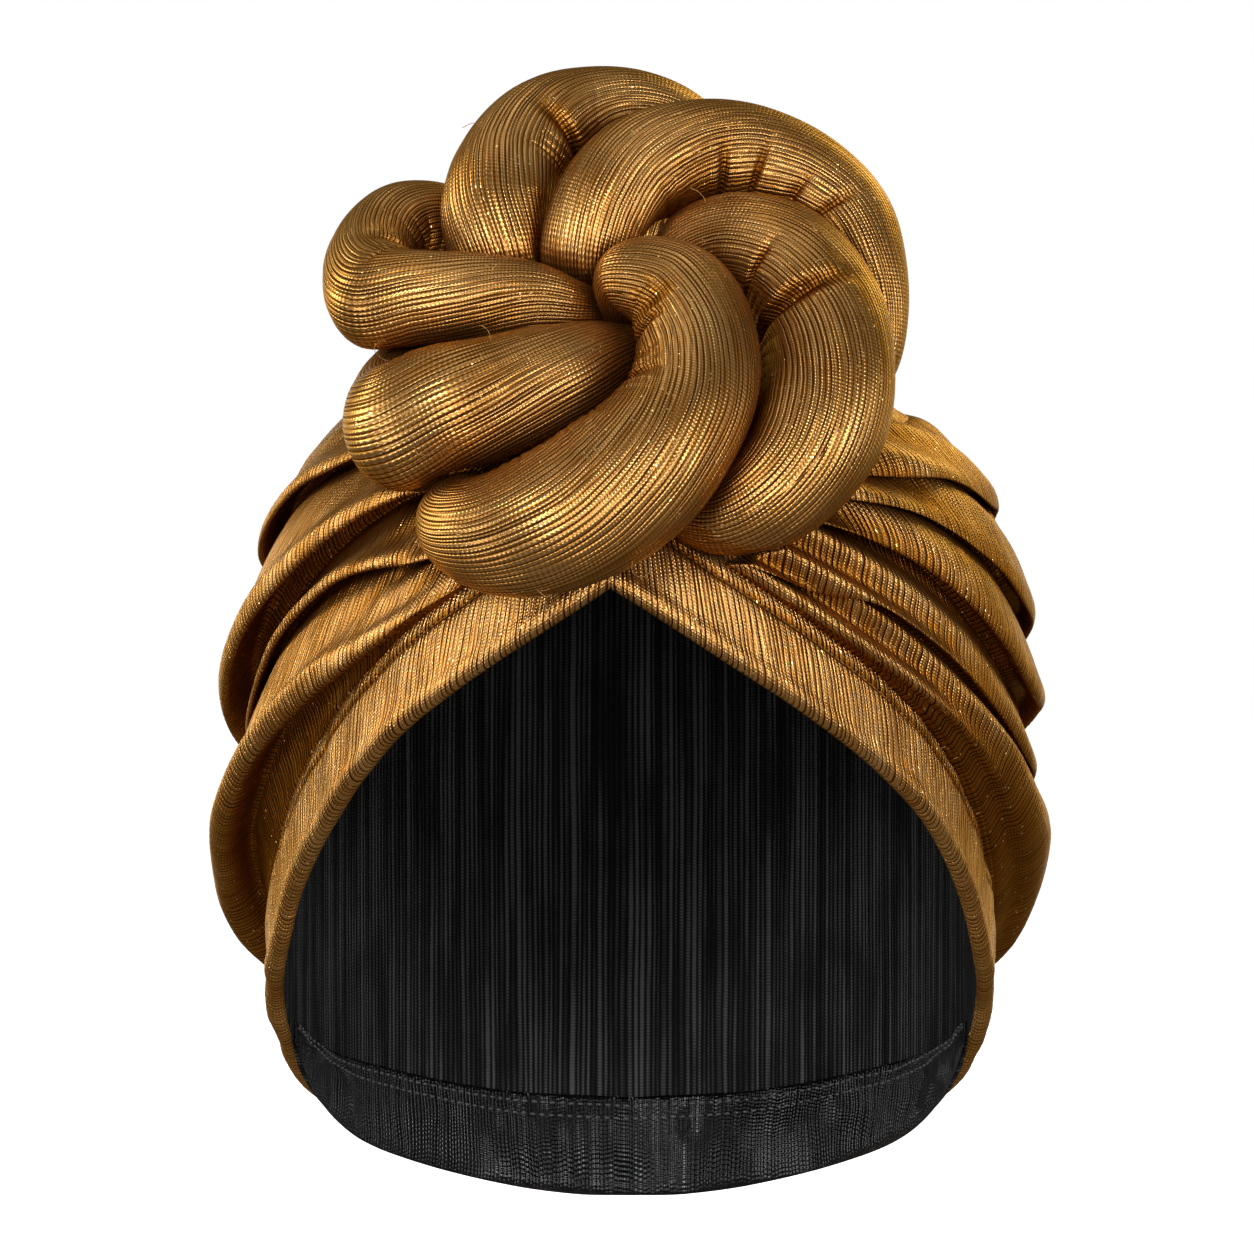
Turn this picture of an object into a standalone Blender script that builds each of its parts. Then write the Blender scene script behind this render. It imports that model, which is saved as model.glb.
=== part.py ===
"""A draped turban hat with a padded knot over the forehead.

Every soft piece is laid out on one head form. A black inner cap lines it, a turned hem band
follows the face opening and the nape, two drapes are gathered under the knot and sweep round
to the centre back in deep folds, and six padded rolls make the knot.

+X is the wearer's left, +Y the back of the head and +Z up. The origin is where the head bears
on the inside of the crown. Table sizes are millimetres and angles degrees.
"""

import math

import bmesh
import bpy
import numpy as np
from mathutils import Vector

MM = 0.001
GAP = 0.35  # between pieces that touch

# The head form, a rounded box about its centre: the inner face of the cap
HEAD_CENTRE = np.array([0.0, 0.0, -111.0])
HALF_WIDTH = 79.5
HALF_LENGTH = 96.5
RISE = 111.0
DROP = 155.0
BOXINESS = 3.3

CAP_WALL = 1.2
DRAPE_WALL = 1.3
BAND_WALL = 2.0
BAND_WIDTH = 21.0
BAND_EASE = 0.15  # slack of a hem band over the cap
NAPE_HEM_WALL = 1.5
MIDDLE_GAP = 0.95  # how far each side stays off the middle plane, where the two sides meet
MIDDLE_REACH = 8.0  # how far from the middle plane that gap has faded
CAP_OUTSIDE = CAP_WALL + GAP + BAND_EASE  # where a hem band's inner face lies over the head form
DRAPE_LIFT = 2.4  # of the drape's inner face over the head form, between its folds
KNOT_SEAT = 4.2  # how far the rolls stay off the head form, over the drapes and bands
OVER_FOLDS = 17.0  # above this height a roll is clear of the folds and can swell
ROLL_CLEARANCE = 0.05  # between squeezed rolls, as a share of their radius
KNOT_MIDDLE = np.array([0.0, -62.0, 10.0])
FULLER_INSIDE = 0.45  # how much fuller a roll is towards the knot's middle, as a share of its radius
FOLD_CLEARANCE = 0.28  # between a fold and the roll over it, as a share of the radius

# The edge of the face opening and the nape: azimuth from the front, height
RIM = (
    (0, -49),
    (16, -63),
    (36, -81),
    (53, -99),
    (68, -118),
    (77, -131),
    (90, -144),
    (100, -155),
    (110, -166.5),
    (122, -176),
    (138, -183.5),
    (157, -190),
    (170, -192.6),
    (180, -193),
)
# Where each fold section meets the middle of the crown: share of the way round, angle up from the front
CROWN_LINE = ((0.0, 62), (0.3, 82), (0.6, 102), (1.0, 122))
# The stitched top of the nape hem: azimuth from the front, height
NAPE_HEM_TOP = ((97, -148.6), (112, -157), (132, -164), (157, -170.8), (180, -173))
NAPE_HEM_START = 99.0
NAPE_HEM_LEAST = 1.0  # its height where it runs out
HEM_GAP = 0.5

# The peak over the forehead leans towards the wearer's right
PEAK_LEAN = -4.2
LEAN_STARTS = -52.0
LEAN_FULL = -94.0

# One row for each fold, from the band up to the crown: its places, heights and lip. Places are shares
# of the way from the band to the crown's middle line, and heights are over the cap: by the knot, at
# the side, behind the ear and at the back. The lip is how far the fold rolls over towards the band,
# as a share of its width.
FOLD_STATIONS = (0.18, 0.45, 0.6, 1.0)
FOLDS_RIGHT_OF_FACE = (
    ((0.07, 0.12, 0.10, 0.12), (4.0, 12.9, 15.5, 4.0), 0.36),
    ((0.21, 0.25, 0.24, 0.27), (3.5, 2.7, 4.0, 3.5), 0.20),
    ((0.35, 0.37, 0.39, 0.44), (4.5, 12.2, 10.0, 4.5), 0.32),
    ((0.57, 0.57, 0.59, 0.63), (3.5, 8.0, 7.0, 4.0), 0.26),
    ((0.80, 0.80, 0.82, 0.84), (2.0, 1.5, 3.0, 3.0), 0.10),
)
FOLDS_LEFT_OF_FACE = (
    ((0.05, 0.12, 0.10, 0.11), (3.0, 11.9, 15.0, 4.0), 0.30),
    ((0.17, 0.23, 0.23, 0.25), (3.0, 9.0, 8.0, 3.5), 0.24),
    ((0.29, 0.34, 0.36, 0.40), (4.0, 13.0, 9.0, 4.5), 0.26),
    ((0.42, 0.46, 0.50, 0.55), (4.0, 12.5, 9.0, 4.0), 0.24),
    ((0.57, 0.60, 0.64, 0.70), (3.5, 10.2, 7.0, 3.5), 0.22),
    ((0.80, 0.80, 0.82, 0.86), (2.0, 2.5, 3.0, 3.0), 0.10),
)
FOLD_SHARPNESS = 1.4  # how much narrower a fold is than a round arch
CREST_LIMITS = (0.2, 0.8)  # where a crest may be, as shares of its fold's width
DRAPE_START = 1.7  # from the band's edge to the first fold
PRESS_STEPS = 10  # halvings towards the height at which a fold clears the knot

# Each padded roll as stations along its middle line: x, y, z and its radius there
ROLLS = {
    "knot_roll_front": (
        (4.4, -62.9, 7.8, 5.0),
        (-0.9, -72.0, 13.0, 6.8),
        (1.3, -78.0, 17.7, 9.4),
        (10.5, -85.3, 13.7, 11.8),
        (15.0, -93.3, 1.6, 13.5),
        (13.0, -100.7, -11.3, 14.6),
        (4.7, -106.3, -22.7, 15.2),
        (-7.4, -108.6, -31.8, 15.4),
        (-20.0, -108.8, -37.2, 14.5),
        (-30.2, -104.3, -38.3, 12.6),
        (-36.5, -95.0, -35.2, 10.4),
        (-33.5, -84.0, -27.0, 9.0),
    ),
    "knot_roll_right": (
        (6.7, -53.9, 17.9, 6.2),
        (13.7, -60.9, 26.5, 7.8),
        (24.8, -67.0, 28.2, 9.5),
        (36.4, -72.4, 22.2, 11.5),
        (43.7, -79.6, 9.7, 13.2),
        (44.6, -87.0, -4.8, 13.8),
        (40.3, -92.4, -17.6, 13.8),
        (31.5, -95.3, -27.9, 13.1),
        (21.5, -93.6, -32.0, 11.7),
        (12.5, -89.5, -29.0, 10.0),
        (5.0, -82.0, -18.0, 9.3),
    ),
    "knot_roll_lower_left": (
        (6.6, -66.5, 3.0, 6.2),
        (-4.0, -79.3, -0.1, 9.0),
        (-15.4, -87.5, -3.9, 11.9),
        (-27.3, -90.8, -8.0, 13.8),
        (-38.2, -91.7, -11.3, 15.5),
        (-47.3, -87.3, -14.0, 15.1),
        (-51.2, -73.8, -10.6, 11.8),
        (-46.5, -59.7, -2.3, 11.2),
        (-34.5, -50.0, 4.0, 10.8),
        (-18.0, -44.0, 10.5, 10.0),
    ),
    "knot_roll_upper_left": (
        (-5.0, -67.1, 11.7, 4.6),
        (-12.0, -71.0, 11.7, 6.8),
        (-22.1, -72.3, 13.8, 9.0),
        (-34.3, -72.1, 14.0, 10.4),
        (-45.3, -71.2, 13.8, 11.0),
        (-54.5, -67.1, 14.0, 12.0),
        (-59.5, -58.1, 21.1, 9.2),
        (-57.8, -48.7, 28.6, 7.9),
        (-51.3, -41.3, 32.8, 8.6),
        (-42.0, -36.5, 31.0, 10.4),
        (-30.7, -33.5, 24.1, 10.2),
        (-16.9, -34.9, 17.8, 9.5),
    ),
    "knot_roll_top_back": (
        (-27.0, -53.8, 14.6, 9.4),
        (-28.9, -55.7, 25.2, 11.4),
        (-30.0, -52.7, 35.3, 12.4),
        (-27.2, -45.8, 45.2, 12.0),
        (-20.6, -40.2, 53.2, 11.3),
        (-10.8, -35.0, 57.5, 10.4),
        (0.4, -31.8, 58.0, 10.0),
        (10.8, -29.6, 53.0, 9.8),
        (17.0, -28.0, 43.2, 10.2),
        (13.7, -29.0, 30.9, 10.8),
        (5.8, -33.0, 19.0, 10.5),
    ),
    "knot_roll_top_right": (
        (-8.9, -55.2, 15.6, 8.4),
        (-11.0, -61.9, 24.9, 9.7),
        (-6.7, -60.8, 35.4, 10.7),
        (2.2, -56.7, 44.3, 11.2),
        (13.8, -52.7, 48.0, 11.3),
        (25.8, -50.5, 47.4, 11.5),
        (37.8, -51.4, 42.1, 11.5),
        (47.6, -55.3, 32.8, 11.0),
        (51.8, -60.5, 21.8, 10.1),
        (52.3, -62.6, 9.7, 9.6),
        (49.1, -61.7, 0.5, 10.0),
        (41.4, -55.0, 0.0, 10.6),
        (29.1, -47.6, 5.5, 10.8),
        (15.5, -42.2, 11.5, 10.0),
    ),
}
ROLL_RINGS = 20
ROLL_SIDES = 12
ROLL_END = 0.07  # share of a roll's length over which its tucked end rounds off
ROLL_SAMPLES = 60  # points along each middle line that the squeeze measures against
TIGHT_BEND = 0.965  # a roll gives way to itself inside a bend nearer than this share of its reach
SQUEEZE_ROUNDNESS = 7.0  # how soon a roll gives way near its neighbour
SQUEEZE_LIMIT = 1.5  # how far out the squeeze looks, as a share of what the roll wants
SQUEEZE_STEPS = 14  # halvings towards the reach at which a roll is clear

# How many faces each sheet has, round the head or along its fold sections and up it
CAP_GRID = (40, 13)
NAPE_HEM_GRID = (18, 3)
BAND_GRID = (26, 3)
DRAPE_GRID = (20, 33)
JOIN_WITHIN = 0.02  # corners nearer than this are one corner

GOLD_CLOTH = ("gold_cloth", (0.33, 0.165, 0.045), 0.42, 0.55)
KNOT_CLOTH = ("knot_cloth", (0.36, 0.185, 0.055), 0.44, 0.5)
BLACK_CLOTH = ("black_cloth", (0.008, 0.008, 0.009), 0.6, 0.0)


def along_table(rows, at):
    """The rows' other columns at a value of their first one, on a smooth curve through them."""
    rows = np.array(rows, float)
    keys = rows[:, 0]
    at = float(np.clip(at, keys[0], keys[-1]))
    low = min(int(np.searchsorted(keys, at, side="right")) - 1, len(keys) - 2)
    step = keys[low + 1] - keys[low]
    t = (at - keys[low]) / step

    def slope(i):
        before, after = max(i - 1, 0), min(i + 1, len(keys) - 1)
        return (rows[after, 1:] - rows[before, 1:]) / (keys[after] - keys[before])

    start, end = rows[low, 1:], rows[low + 1, 1:]
    return (
        (2 * t**3 - 3 * t**2 + 1) * start
        + (t**3 - 2 * t**2 + t) * step * slope(low)
        + (3 * t**2 - 2 * t**3) * end
        + (t**3 - t**2) * step * slope(low + 1)
    )


def unit(vectors):
    return vectors / np.linalg.norm(vectors, axis=-1, keepdims=True)


def rise_or_drop(height):
    return np.where(height > 0, RISE, DROP)


def reach(directions):
    """How far the head form's surface is from its centre in each direction."""
    x, y, z = np.moveaxis(directions, -1, 0)
    across = np.hypot(x / HALF_WIDTH, y / HALF_LENGTH)
    upward = np.abs(z) / rise_or_drop(z)
    return (across**BOXINESS + upward**BOXINESS) ** (-1 / BOXINESS)


def outward(points):
    """The head form's normal at points near its surface."""
    offset = points - HEAD_CENTRE
    x, y, z = np.moveaxis(offset, -1, 0)
    across = np.hypot(x / HALF_WIDTH, y / HALF_LENGTH) ** (BOXINESS - 2)
    upward = np.sign(z) * np.abs(z) ** (BOXINESS - 1) / rise_or_drop(z) ** BOXINESS
    return unit(np.stack([across * x / HALF_WIDTH**2, across * y / HALF_LENGTH**2, upward], -1))


def on_form(directions, height=0.0):
    """Points over the head form, raised along its normal."""
    points = HEAD_CENTRE + directions * reach(directions)[..., None]
    return points + outward(points) * np.asarray(height)[..., None]


def lean(points, way=1):
    """Points moved sideways with the leaning peak, or back again."""
    share = np.clip((points[..., 1] - LEAN_STARTS) / (LEAN_FULL - LEAN_STARTS), 0, 1)
    moved = points.copy()
    moved[..., 0] += way * PEAK_LEAN * share**2 * (3 - 2 * share)
    return moved


def above_form(points):
    """How far points are outside the leaning head form, measured from its centre."""
    offset = lean(points, -1) - HEAD_CENTRE
    return np.linalg.norm(offset, axis=-1) - reach(unit(offset))


def at_azimuth(azimuth, height):
    """The direction to the form's surface at an azimuth from the front and a height."""
    lift = height - HEAD_CENTRE[2]
    share = (1 - (abs(lift) / rise_or_drop(lift)) ** BOXINESS) ** (1 / BOXINESS)
    turn = math.radians(azimuth)
    x = HALF_WIDTH * share * math.sin(turn)
    y = -HALF_LENGTH * share * math.cos(turn)
    return unit(np.array([x, y, float(lift)]))


def between(start, end, share):
    """The direction a share of the way round from start to end."""
    turn = math.acos(float(np.clip(start @ end, -1, 1)))
    return (math.sin((1 - share) * turn) * start + math.sin(share * turn) * end) / math.sin(turn)


def fold_section(side, way_round):
    """The rim's and the crown's directions of one section across the folds, and its length."""
    azimuth = 180 * way_round
    rim = at_azimuth(azimuth, along_table(RIM, azimuth)[0])
    rim = rim * np.array([side, 1, 1])
    angle = math.radians(along_table(CROWN_LINE, way_round)[0])
    crown = np.array([0.0, -math.cos(angle), math.sin(angle)])
    length = math.acos(float(np.clip(rim @ crown, -1, 1))) * float(reach(rim))
    return rim, crown, length


def middle_line(rows, count):
    """Points along a roll's middle line, closer together where it is thin, with the radius at each."""
    rows = np.array(rows, float)
    steps = np.linalg.norm(np.diff(rows[:, :3], axis=0), axis=1)
    steps /= (rows[1:, 3] + rows[:-1, 3]) / 2
    keyed = np.column_stack([np.concatenate([[0], np.cumsum(steps)]), rows])
    line = np.array([along_table(keyed, at) for at in np.linspace(0, keyed[-1, 0], count)])
    return line[:, :3], line[:, 3]


ROLL_LINES = {name: middle_line(rows, ROLL_SAMPLES) for name, rows in ROLLS.items()}


def own_line(name, points):
    """Each point's distance from one roll's middle line."""
    line, _ = ROLL_LINES[name]
    return np.linalg.norm(points[..., None, :] - line, axis=-1).min(axis=-1)


def nearest_roll(points, leave_out=None):
    """Each point's distance from the nearest roll's middle line, as a share of that roll's radius."""
    best = np.full(points.shape[:-1], np.inf)
    for name, (line, radius) in ROLL_LINES.items():
        if name == leave_out:
            continue
        away = np.linalg.norm(points[..., None, :] - line, axis=-1) / radius
        best = np.minimum(best, away.min(axis=-1))
    return best


def frames_along(line):
    """Two directions across a line at each of its points, carried along without twisting."""
    tangents = unit(np.gradient(line, axis=0))
    across = np.cross(tangents[0], [0.0, 1.0, 0.0])
    first = []
    for tangent in tangents:
        across = unit(across - tangent * (across @ tangent))
        first.append(across)
    first = np.array(first)
    return first, np.cross(tangents, first)


def squeezed(name, centres, directions, radius):
    """How far a roll reaches in each direction, giving way to its neighbours and the drapes."""
    middle_way = unit(KNOT_MIDDLE - centres)
    inward = np.clip(np.sum(middle_way * directions, axis=-1), 0, 1)
    wanted = radius * (1 + FULLER_INSIDE * inward**2)
    inside, outside = np.zeros(radius.shape), wanted * SQUEEZE_LIMIT
    for _ in range(SQUEEZE_STEPS):
        middle = (inside + outside) / 2
        points = centres + directions * middle[..., None]
        height = above_form(points)
        clear = middle / radius + ROLL_CLEARANCE < nearest_roll(points, leave_out=name)
        clear &= (height > KNOT_SEAT) & ((middle < radius) | (height > OVER_FOLDS))
        clear &= own_line(name, points) > TIGHT_BEND * middle
        inside = np.where(clear, middle, inside)
        outside = np.where(clear, outside, middle)
    free = inside / wanted + 1e-3
    return wanted * (1 + free**-SQUEEZE_ROUNDNESS) ** (-1 / SQUEEZE_ROUNDNESS)


def roll_surface(name, u, v):
    """Points on a padded roll: u runs along it and v round it."""
    line, radius = middle_line(ROLLS[name], ROLL_RINGS + 1)
    first, second = frames_along(line)
    ring = np.rint(u * ROLL_RINGS).astype(int)
    turn = 2 * math.pi * v
    directions = first[ring] * np.cos(turn)[:, None] + second[ring] * np.sin(turn)[:, None]
    to_end = np.minimum(u, 1 - u) / ROLL_END
    rounded = np.sqrt(1 - np.clip(1 - to_end, 0, 1) ** 2)
    reached = squeezed(name, line[ring], directions, radius[ring]) * rounded
    return line[ring] + directions * reached[:, None]


def fold_rows(side, way_round):
    """Each fold's place, height and lip at one section, from the band to the crown."""
    rows = FOLDS_LEFT_OF_FACE if side > 0 else FOLDS_RIGHT_OF_FACE
    places = np.array([row[0] for row in rows])
    heights = np.array([row[1] for row in rows])
    lips = np.array([row[2] for row in rows])
    places = along_table(np.column_stack([FOLD_STATIONS, places.T]), way_round)
    heights = along_table(np.column_stack([FOLD_STATIONS, heights.T]), way_round)
    heights = heights * min(1.0, way_round / FOLD_STATIONS[0]) ** 2
    return places, heights, lips


def fold_profile(side, way_round, share):
    """A section's shares moved sideways, and their height, where the cloth rolls over its folds."""
    places, heights, lips = fold_rows(side, way_round)
    edges = np.concatenate([[0], (places[1:] + places[:-1]) / 2, [1]])
    fold = np.clip(np.searchsorted(edges, share, side="right") - 1, 0, len(places) - 1)
    width = edges[fold + 1] - edges[fold]
    inside = np.clip((share - edges[fold]) / width, 0, 1)
    crest = np.clip((places[fold] - edges[fold]) / width, *CREST_LIMITS)
    bump = np.sin(math.pi * inside ** (math.log(0.5) / np.log(crest)))
    bump = np.clip(bump, 0, 1) ** FOLD_SHARPNESS
    return share - lips[fold] * width * bump * (1 - inside), heights[fold] * bump


def off_middle(side, points):
    """Points near the middle plane moved aside, which keeps the two sides apart there."""
    points[:, 0] += side * MIDDLE_GAP * np.exp(-((points[:, 0] / MIDDLE_REACH) ** 2))
    return points


def drape_surface(side, u, v):
    """Points on the inner face of a drape: u runs from the knot to the back and v up from the band."""
    points = np.empty((len(u), 3))
    for way_round in np.unique(u):
        here = u == way_round
        rim, crown, length = fold_section(side, way_round)
        start = (BAND_WIDTH + DRAPE_START) / length
        moved, raised = fold_profile(side, way_round, v[here])
        shares = start + np.clip(moved, 0, 1) * (1 - start)
        directions = np.array([between(rim, crown, share) for share in shares])
        points[here] = under_rolls(directions, raised)
    return lean(off_middle(side, points))


def under_rolls(directions, raised):
    """Fold points pressed down so that they pass under the knot."""
    low, high = np.zeros(len(raised)), raised.copy()
    wall = DRAPE_WALL + DRAPE_LIFT
    for _ in range(PRESS_STEPS):
        middle = (low + high) / 2
        clear = nearest_roll(lean(on_form(directions, wall + middle))) > 1 + FOLD_CLEARANCE
        low = np.where(clear, middle, low)
        high = np.where(clear, high, middle)
    fits = nearest_roll(lean(on_form(directions, wall + raised))) > 1 + FOLD_CLEARANCE
    return on_form(directions, DRAPE_LIFT + np.where(fits, raised, low))


def band_surface(side, u, v):
    """Points on the inner face of a hem band: u runs from the peak to the nape and v in from the rim."""
    points = np.empty((len(u), 3))
    for way_round in np.unique(u):
        here = u == way_round
        rim, crown, length = fold_section(side, way_round)
        shares = v[here] * BAND_WIDTH / length
        directions = np.array([between(rim, crown, share) for share in shares])
        points[here] = on_form(directions, np.full(len(shares), CAP_OUTSIDE))
    return lean(off_middle(side, points))


def cap_surface(u, v):
    """Points on the inner cap: u runs round it from the front and v up to the crown."""
    points = np.empty((len(u), 3))
    top = np.array([0.0, 0.0, 1.0])
    for around in np.unique(u):
        here = u == around
        azimuth = 360 * around
        height = along_table(RIM, min(azimuth, 360 - azimuth))[0]
        rim = at_azimuth(azimuth, height)
        directions = np.array([between(rim, top, share) for share in v[here]])
        points[here] = on_form(directions)
    return lean(points)


def nape_hem_surface(u, v):
    """Points on the outer face of the folded hem inside the nape: u runs round it and v up."""
    points = np.empty((len(u), 3))
    for around in np.unique(u):
        here = u == around
        azimuth = NAPE_HEM_START + (360 - 2 * NAPE_HEM_START) * around
        from_front = min(azimuth, 360 - azimuth)
        low = along_table(RIM, from_front)[0]
        high = max(along_table(NAPE_HEM_TOP, from_front)[0], low + NAPE_HEM_LEAST)
        directions = [at_azimuth(azimuth, low + (high - low) * share) for share in v[here]]
        points[here] = on_form(np.array(directions), np.full(here.sum(), -HEM_GAP))
    return points


def cloth_material(name, colour, roughness, metallic):
    material = bpy.data.materials.get(name)
    if material is None:
        material = bpy.data.materials.new(name)
        material.use_nodes = True
        shader = material.node_tree.nodes["Principled BSDF"]
        shader.inputs["Base Color"].default_value = (*colour, 1.0)
        shader.inputs["Roughness"].default_value = roughness
        shader.inputs["Metallic"].default_value = metallic
    return material


def mapped_grid(name, faces, surface, material, collection):
    """An object whose mesh is a flat grid laid onto a surface, with touching edges joined."""
    columns, rows = faces
    shape = bmesh.new()
    bmesh.ops.create_grid(shape, x_segments=columns, y_segments=rows, size=0.5)
    flat = np.array([vert.co[:2] for vert in shape.verts]) + 0.5
    flat = np.round(flat * [columns, rows]) / [columns, rows]
    for vert, point in zip(shape.verts, surface(flat[:, 0], flat[:, 1])):
        vert.co = Vector(point * MM)
    bmesh.ops.remove_doubles(shape, verts=shape.verts, dist=JOIN_WITHIN * MM)
    bmesh.ops.recalc_face_normals(shape, faces=shape.faces)
    mesh = bpy.data.meshes.new(name)
    shape.to_mesh(mesh)
    shape.free()
    mesh.shade_smooth()
    mesh.materials.append(cloth_material(*material))
    piece = bpy.data.objects.new(name, mesh)
    collection.objects.link(piece)
    return piece


def facing_out(piece):
    """Turns an open sheet's faces so that they face away from the head's centre."""
    mesh = piece.data
    centre = Vector(HEAD_CENTRE * MM)
    if sum((face.center - centre).dot(face.normal) * face.area for face in mesh.polygons) < 0:
        mesh.flip_normals()


def thicken(piece, wall, outwards=True):
    facing_out(piece)
    solidify = piece.modifiers.new("cloth_wall", "SOLIDIFY")
    solidify.thickness = wall * MM
    solidify.offset = 1.0 if outwards else -1.0
    solidify.use_even_offset = False


def build_cap(collection):
    cap = mapped_grid("inner_cap", CAP_GRID, cap_surface, BLACK_CLOTH, collection)
    thicken(cap, CAP_WALL)
    hem = mapped_grid("nape_hem", NAPE_HEM_GRID, nape_hem_surface, BLACK_CLOTH, collection)
    thicken(hem, NAPE_HEM_WALL, outwards=False)


def build_side(side, word, collection):
    band = mapped_grid(
        f"hem_band_{word}", BAND_GRID, lambda u, v: band_surface(side, u, v), GOLD_CLOTH, collection
    )
    thicken(band, BAND_WALL)
    drape = mapped_grid(
        f"drape_{word}", DRAPE_GRID, lambda u, v: drape_surface(side, u, v), GOLD_CLOTH, collection
    )
    thicken(drape, DRAPE_WALL)


def build_knot(collection):
    for name in ROLLS:
        mapped_grid(
            name,
            (ROLL_RINGS, ROLL_SIDES),
            lambda u, v, name=name: roll_surface(name, u, v),
            KNOT_CLOTH,
            collection,
        )


def build_hat():
    for old in list(bpy.data.objects):
        bpy.data.objects.remove(old, do_unlink=True)
    collection = bpy.data.collections.new("turban_hat")
    bpy.context.scene.collection.children.link(collection)
    build_cap(collection)
    build_side(-1, "right", collection)
    build_side(1, "left", collection)
    build_knot(collection)


build_hat()
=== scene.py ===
import math

import bmesh
import bpy
import numpy as np
from mathutils import Matrix, Vector


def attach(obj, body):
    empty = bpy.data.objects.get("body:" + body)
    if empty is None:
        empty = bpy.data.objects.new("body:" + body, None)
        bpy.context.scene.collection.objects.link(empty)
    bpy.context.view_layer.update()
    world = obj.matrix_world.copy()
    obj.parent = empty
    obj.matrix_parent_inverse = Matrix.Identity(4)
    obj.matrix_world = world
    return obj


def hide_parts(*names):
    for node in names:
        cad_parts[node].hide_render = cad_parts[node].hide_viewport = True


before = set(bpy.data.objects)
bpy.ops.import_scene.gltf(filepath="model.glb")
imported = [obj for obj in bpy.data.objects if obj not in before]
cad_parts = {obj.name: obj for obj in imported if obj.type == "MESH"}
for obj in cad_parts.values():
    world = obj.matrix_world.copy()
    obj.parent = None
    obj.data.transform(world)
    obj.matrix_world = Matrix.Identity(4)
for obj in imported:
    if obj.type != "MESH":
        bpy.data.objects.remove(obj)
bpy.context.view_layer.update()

# The shared head form and the lines drawn on it. Table sizes are millimetres and angles degrees.
MM = 0.001
HEAD_CENTRE = np.array([0.0, 0.0, -111.0])
HALF_WIDTH = 79.5
HALF_LENGTH = 96.5
RISE = 111.0
DROP = 155.0
BOXINESS = 3.3

CAP_WALL = 1.2
BAND_WIDTH = 21.0
MIDDLE_GAP = 0.12  # how far each side stays off the middle plane, and how near it that counts
MIDDLE_REACH = 8.0
DRAPE_LIFT = 2.9  # of the drape over the head form, between its folds
DRAPE_START = -1.5  # from the band's edge to the first fold: the drape starts in the band's seam
KNOT_SEAT = 4.4  # how far the rolls stay off the head form
OVER_FOLDS = 17.0  # above this height a roll is clear of the folds and can swell
ROLL_CLEARANCE = 0.012  # between squeezed rolls, as a share of their radius
KNOT_MIDDLE = np.array([0.0, -62.0, 10.0])
FULLER_INSIDE = 0.45  # how much fuller a roll is towards the knot's middle
FOLD_CLEARANCE = 0.12  # between a fold and the roll over it, as a share of the radius
NAPE_HEM_START = 99.0
HEM_GAP = 0.4

# The edge of the face opening and the nape: azimuth from the front, height
RIM = (
    (0, -49),
    (16, -63),
    (36, -81),
    (53, -99),
    (68, -118),
    (77, -131),
    (90, -144),
    (100, -155),
    (110, -166.5),
    (122, -176),
    (138, -183.5),
    (157, -190),
    (170, -192.6),
    (180, -193),
)
# Where each fold section meets the crown's middle: share of the way round, angle up from the front
CROWN_LINE = ((0.0, 62), (0.3, 82), (0.6, 102), (1.0, 122))
# The stitched top of the nape hem: azimuth from the front, height
NAPE_HEM_TOP = ((97, -148.6), (112, -157), (132, -164), (157, -170.8), (180, -173))

PEAK_LEAN = -4.2
LEAN_STARTS = -52.0
LEAN_FULL = -94.0

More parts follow.
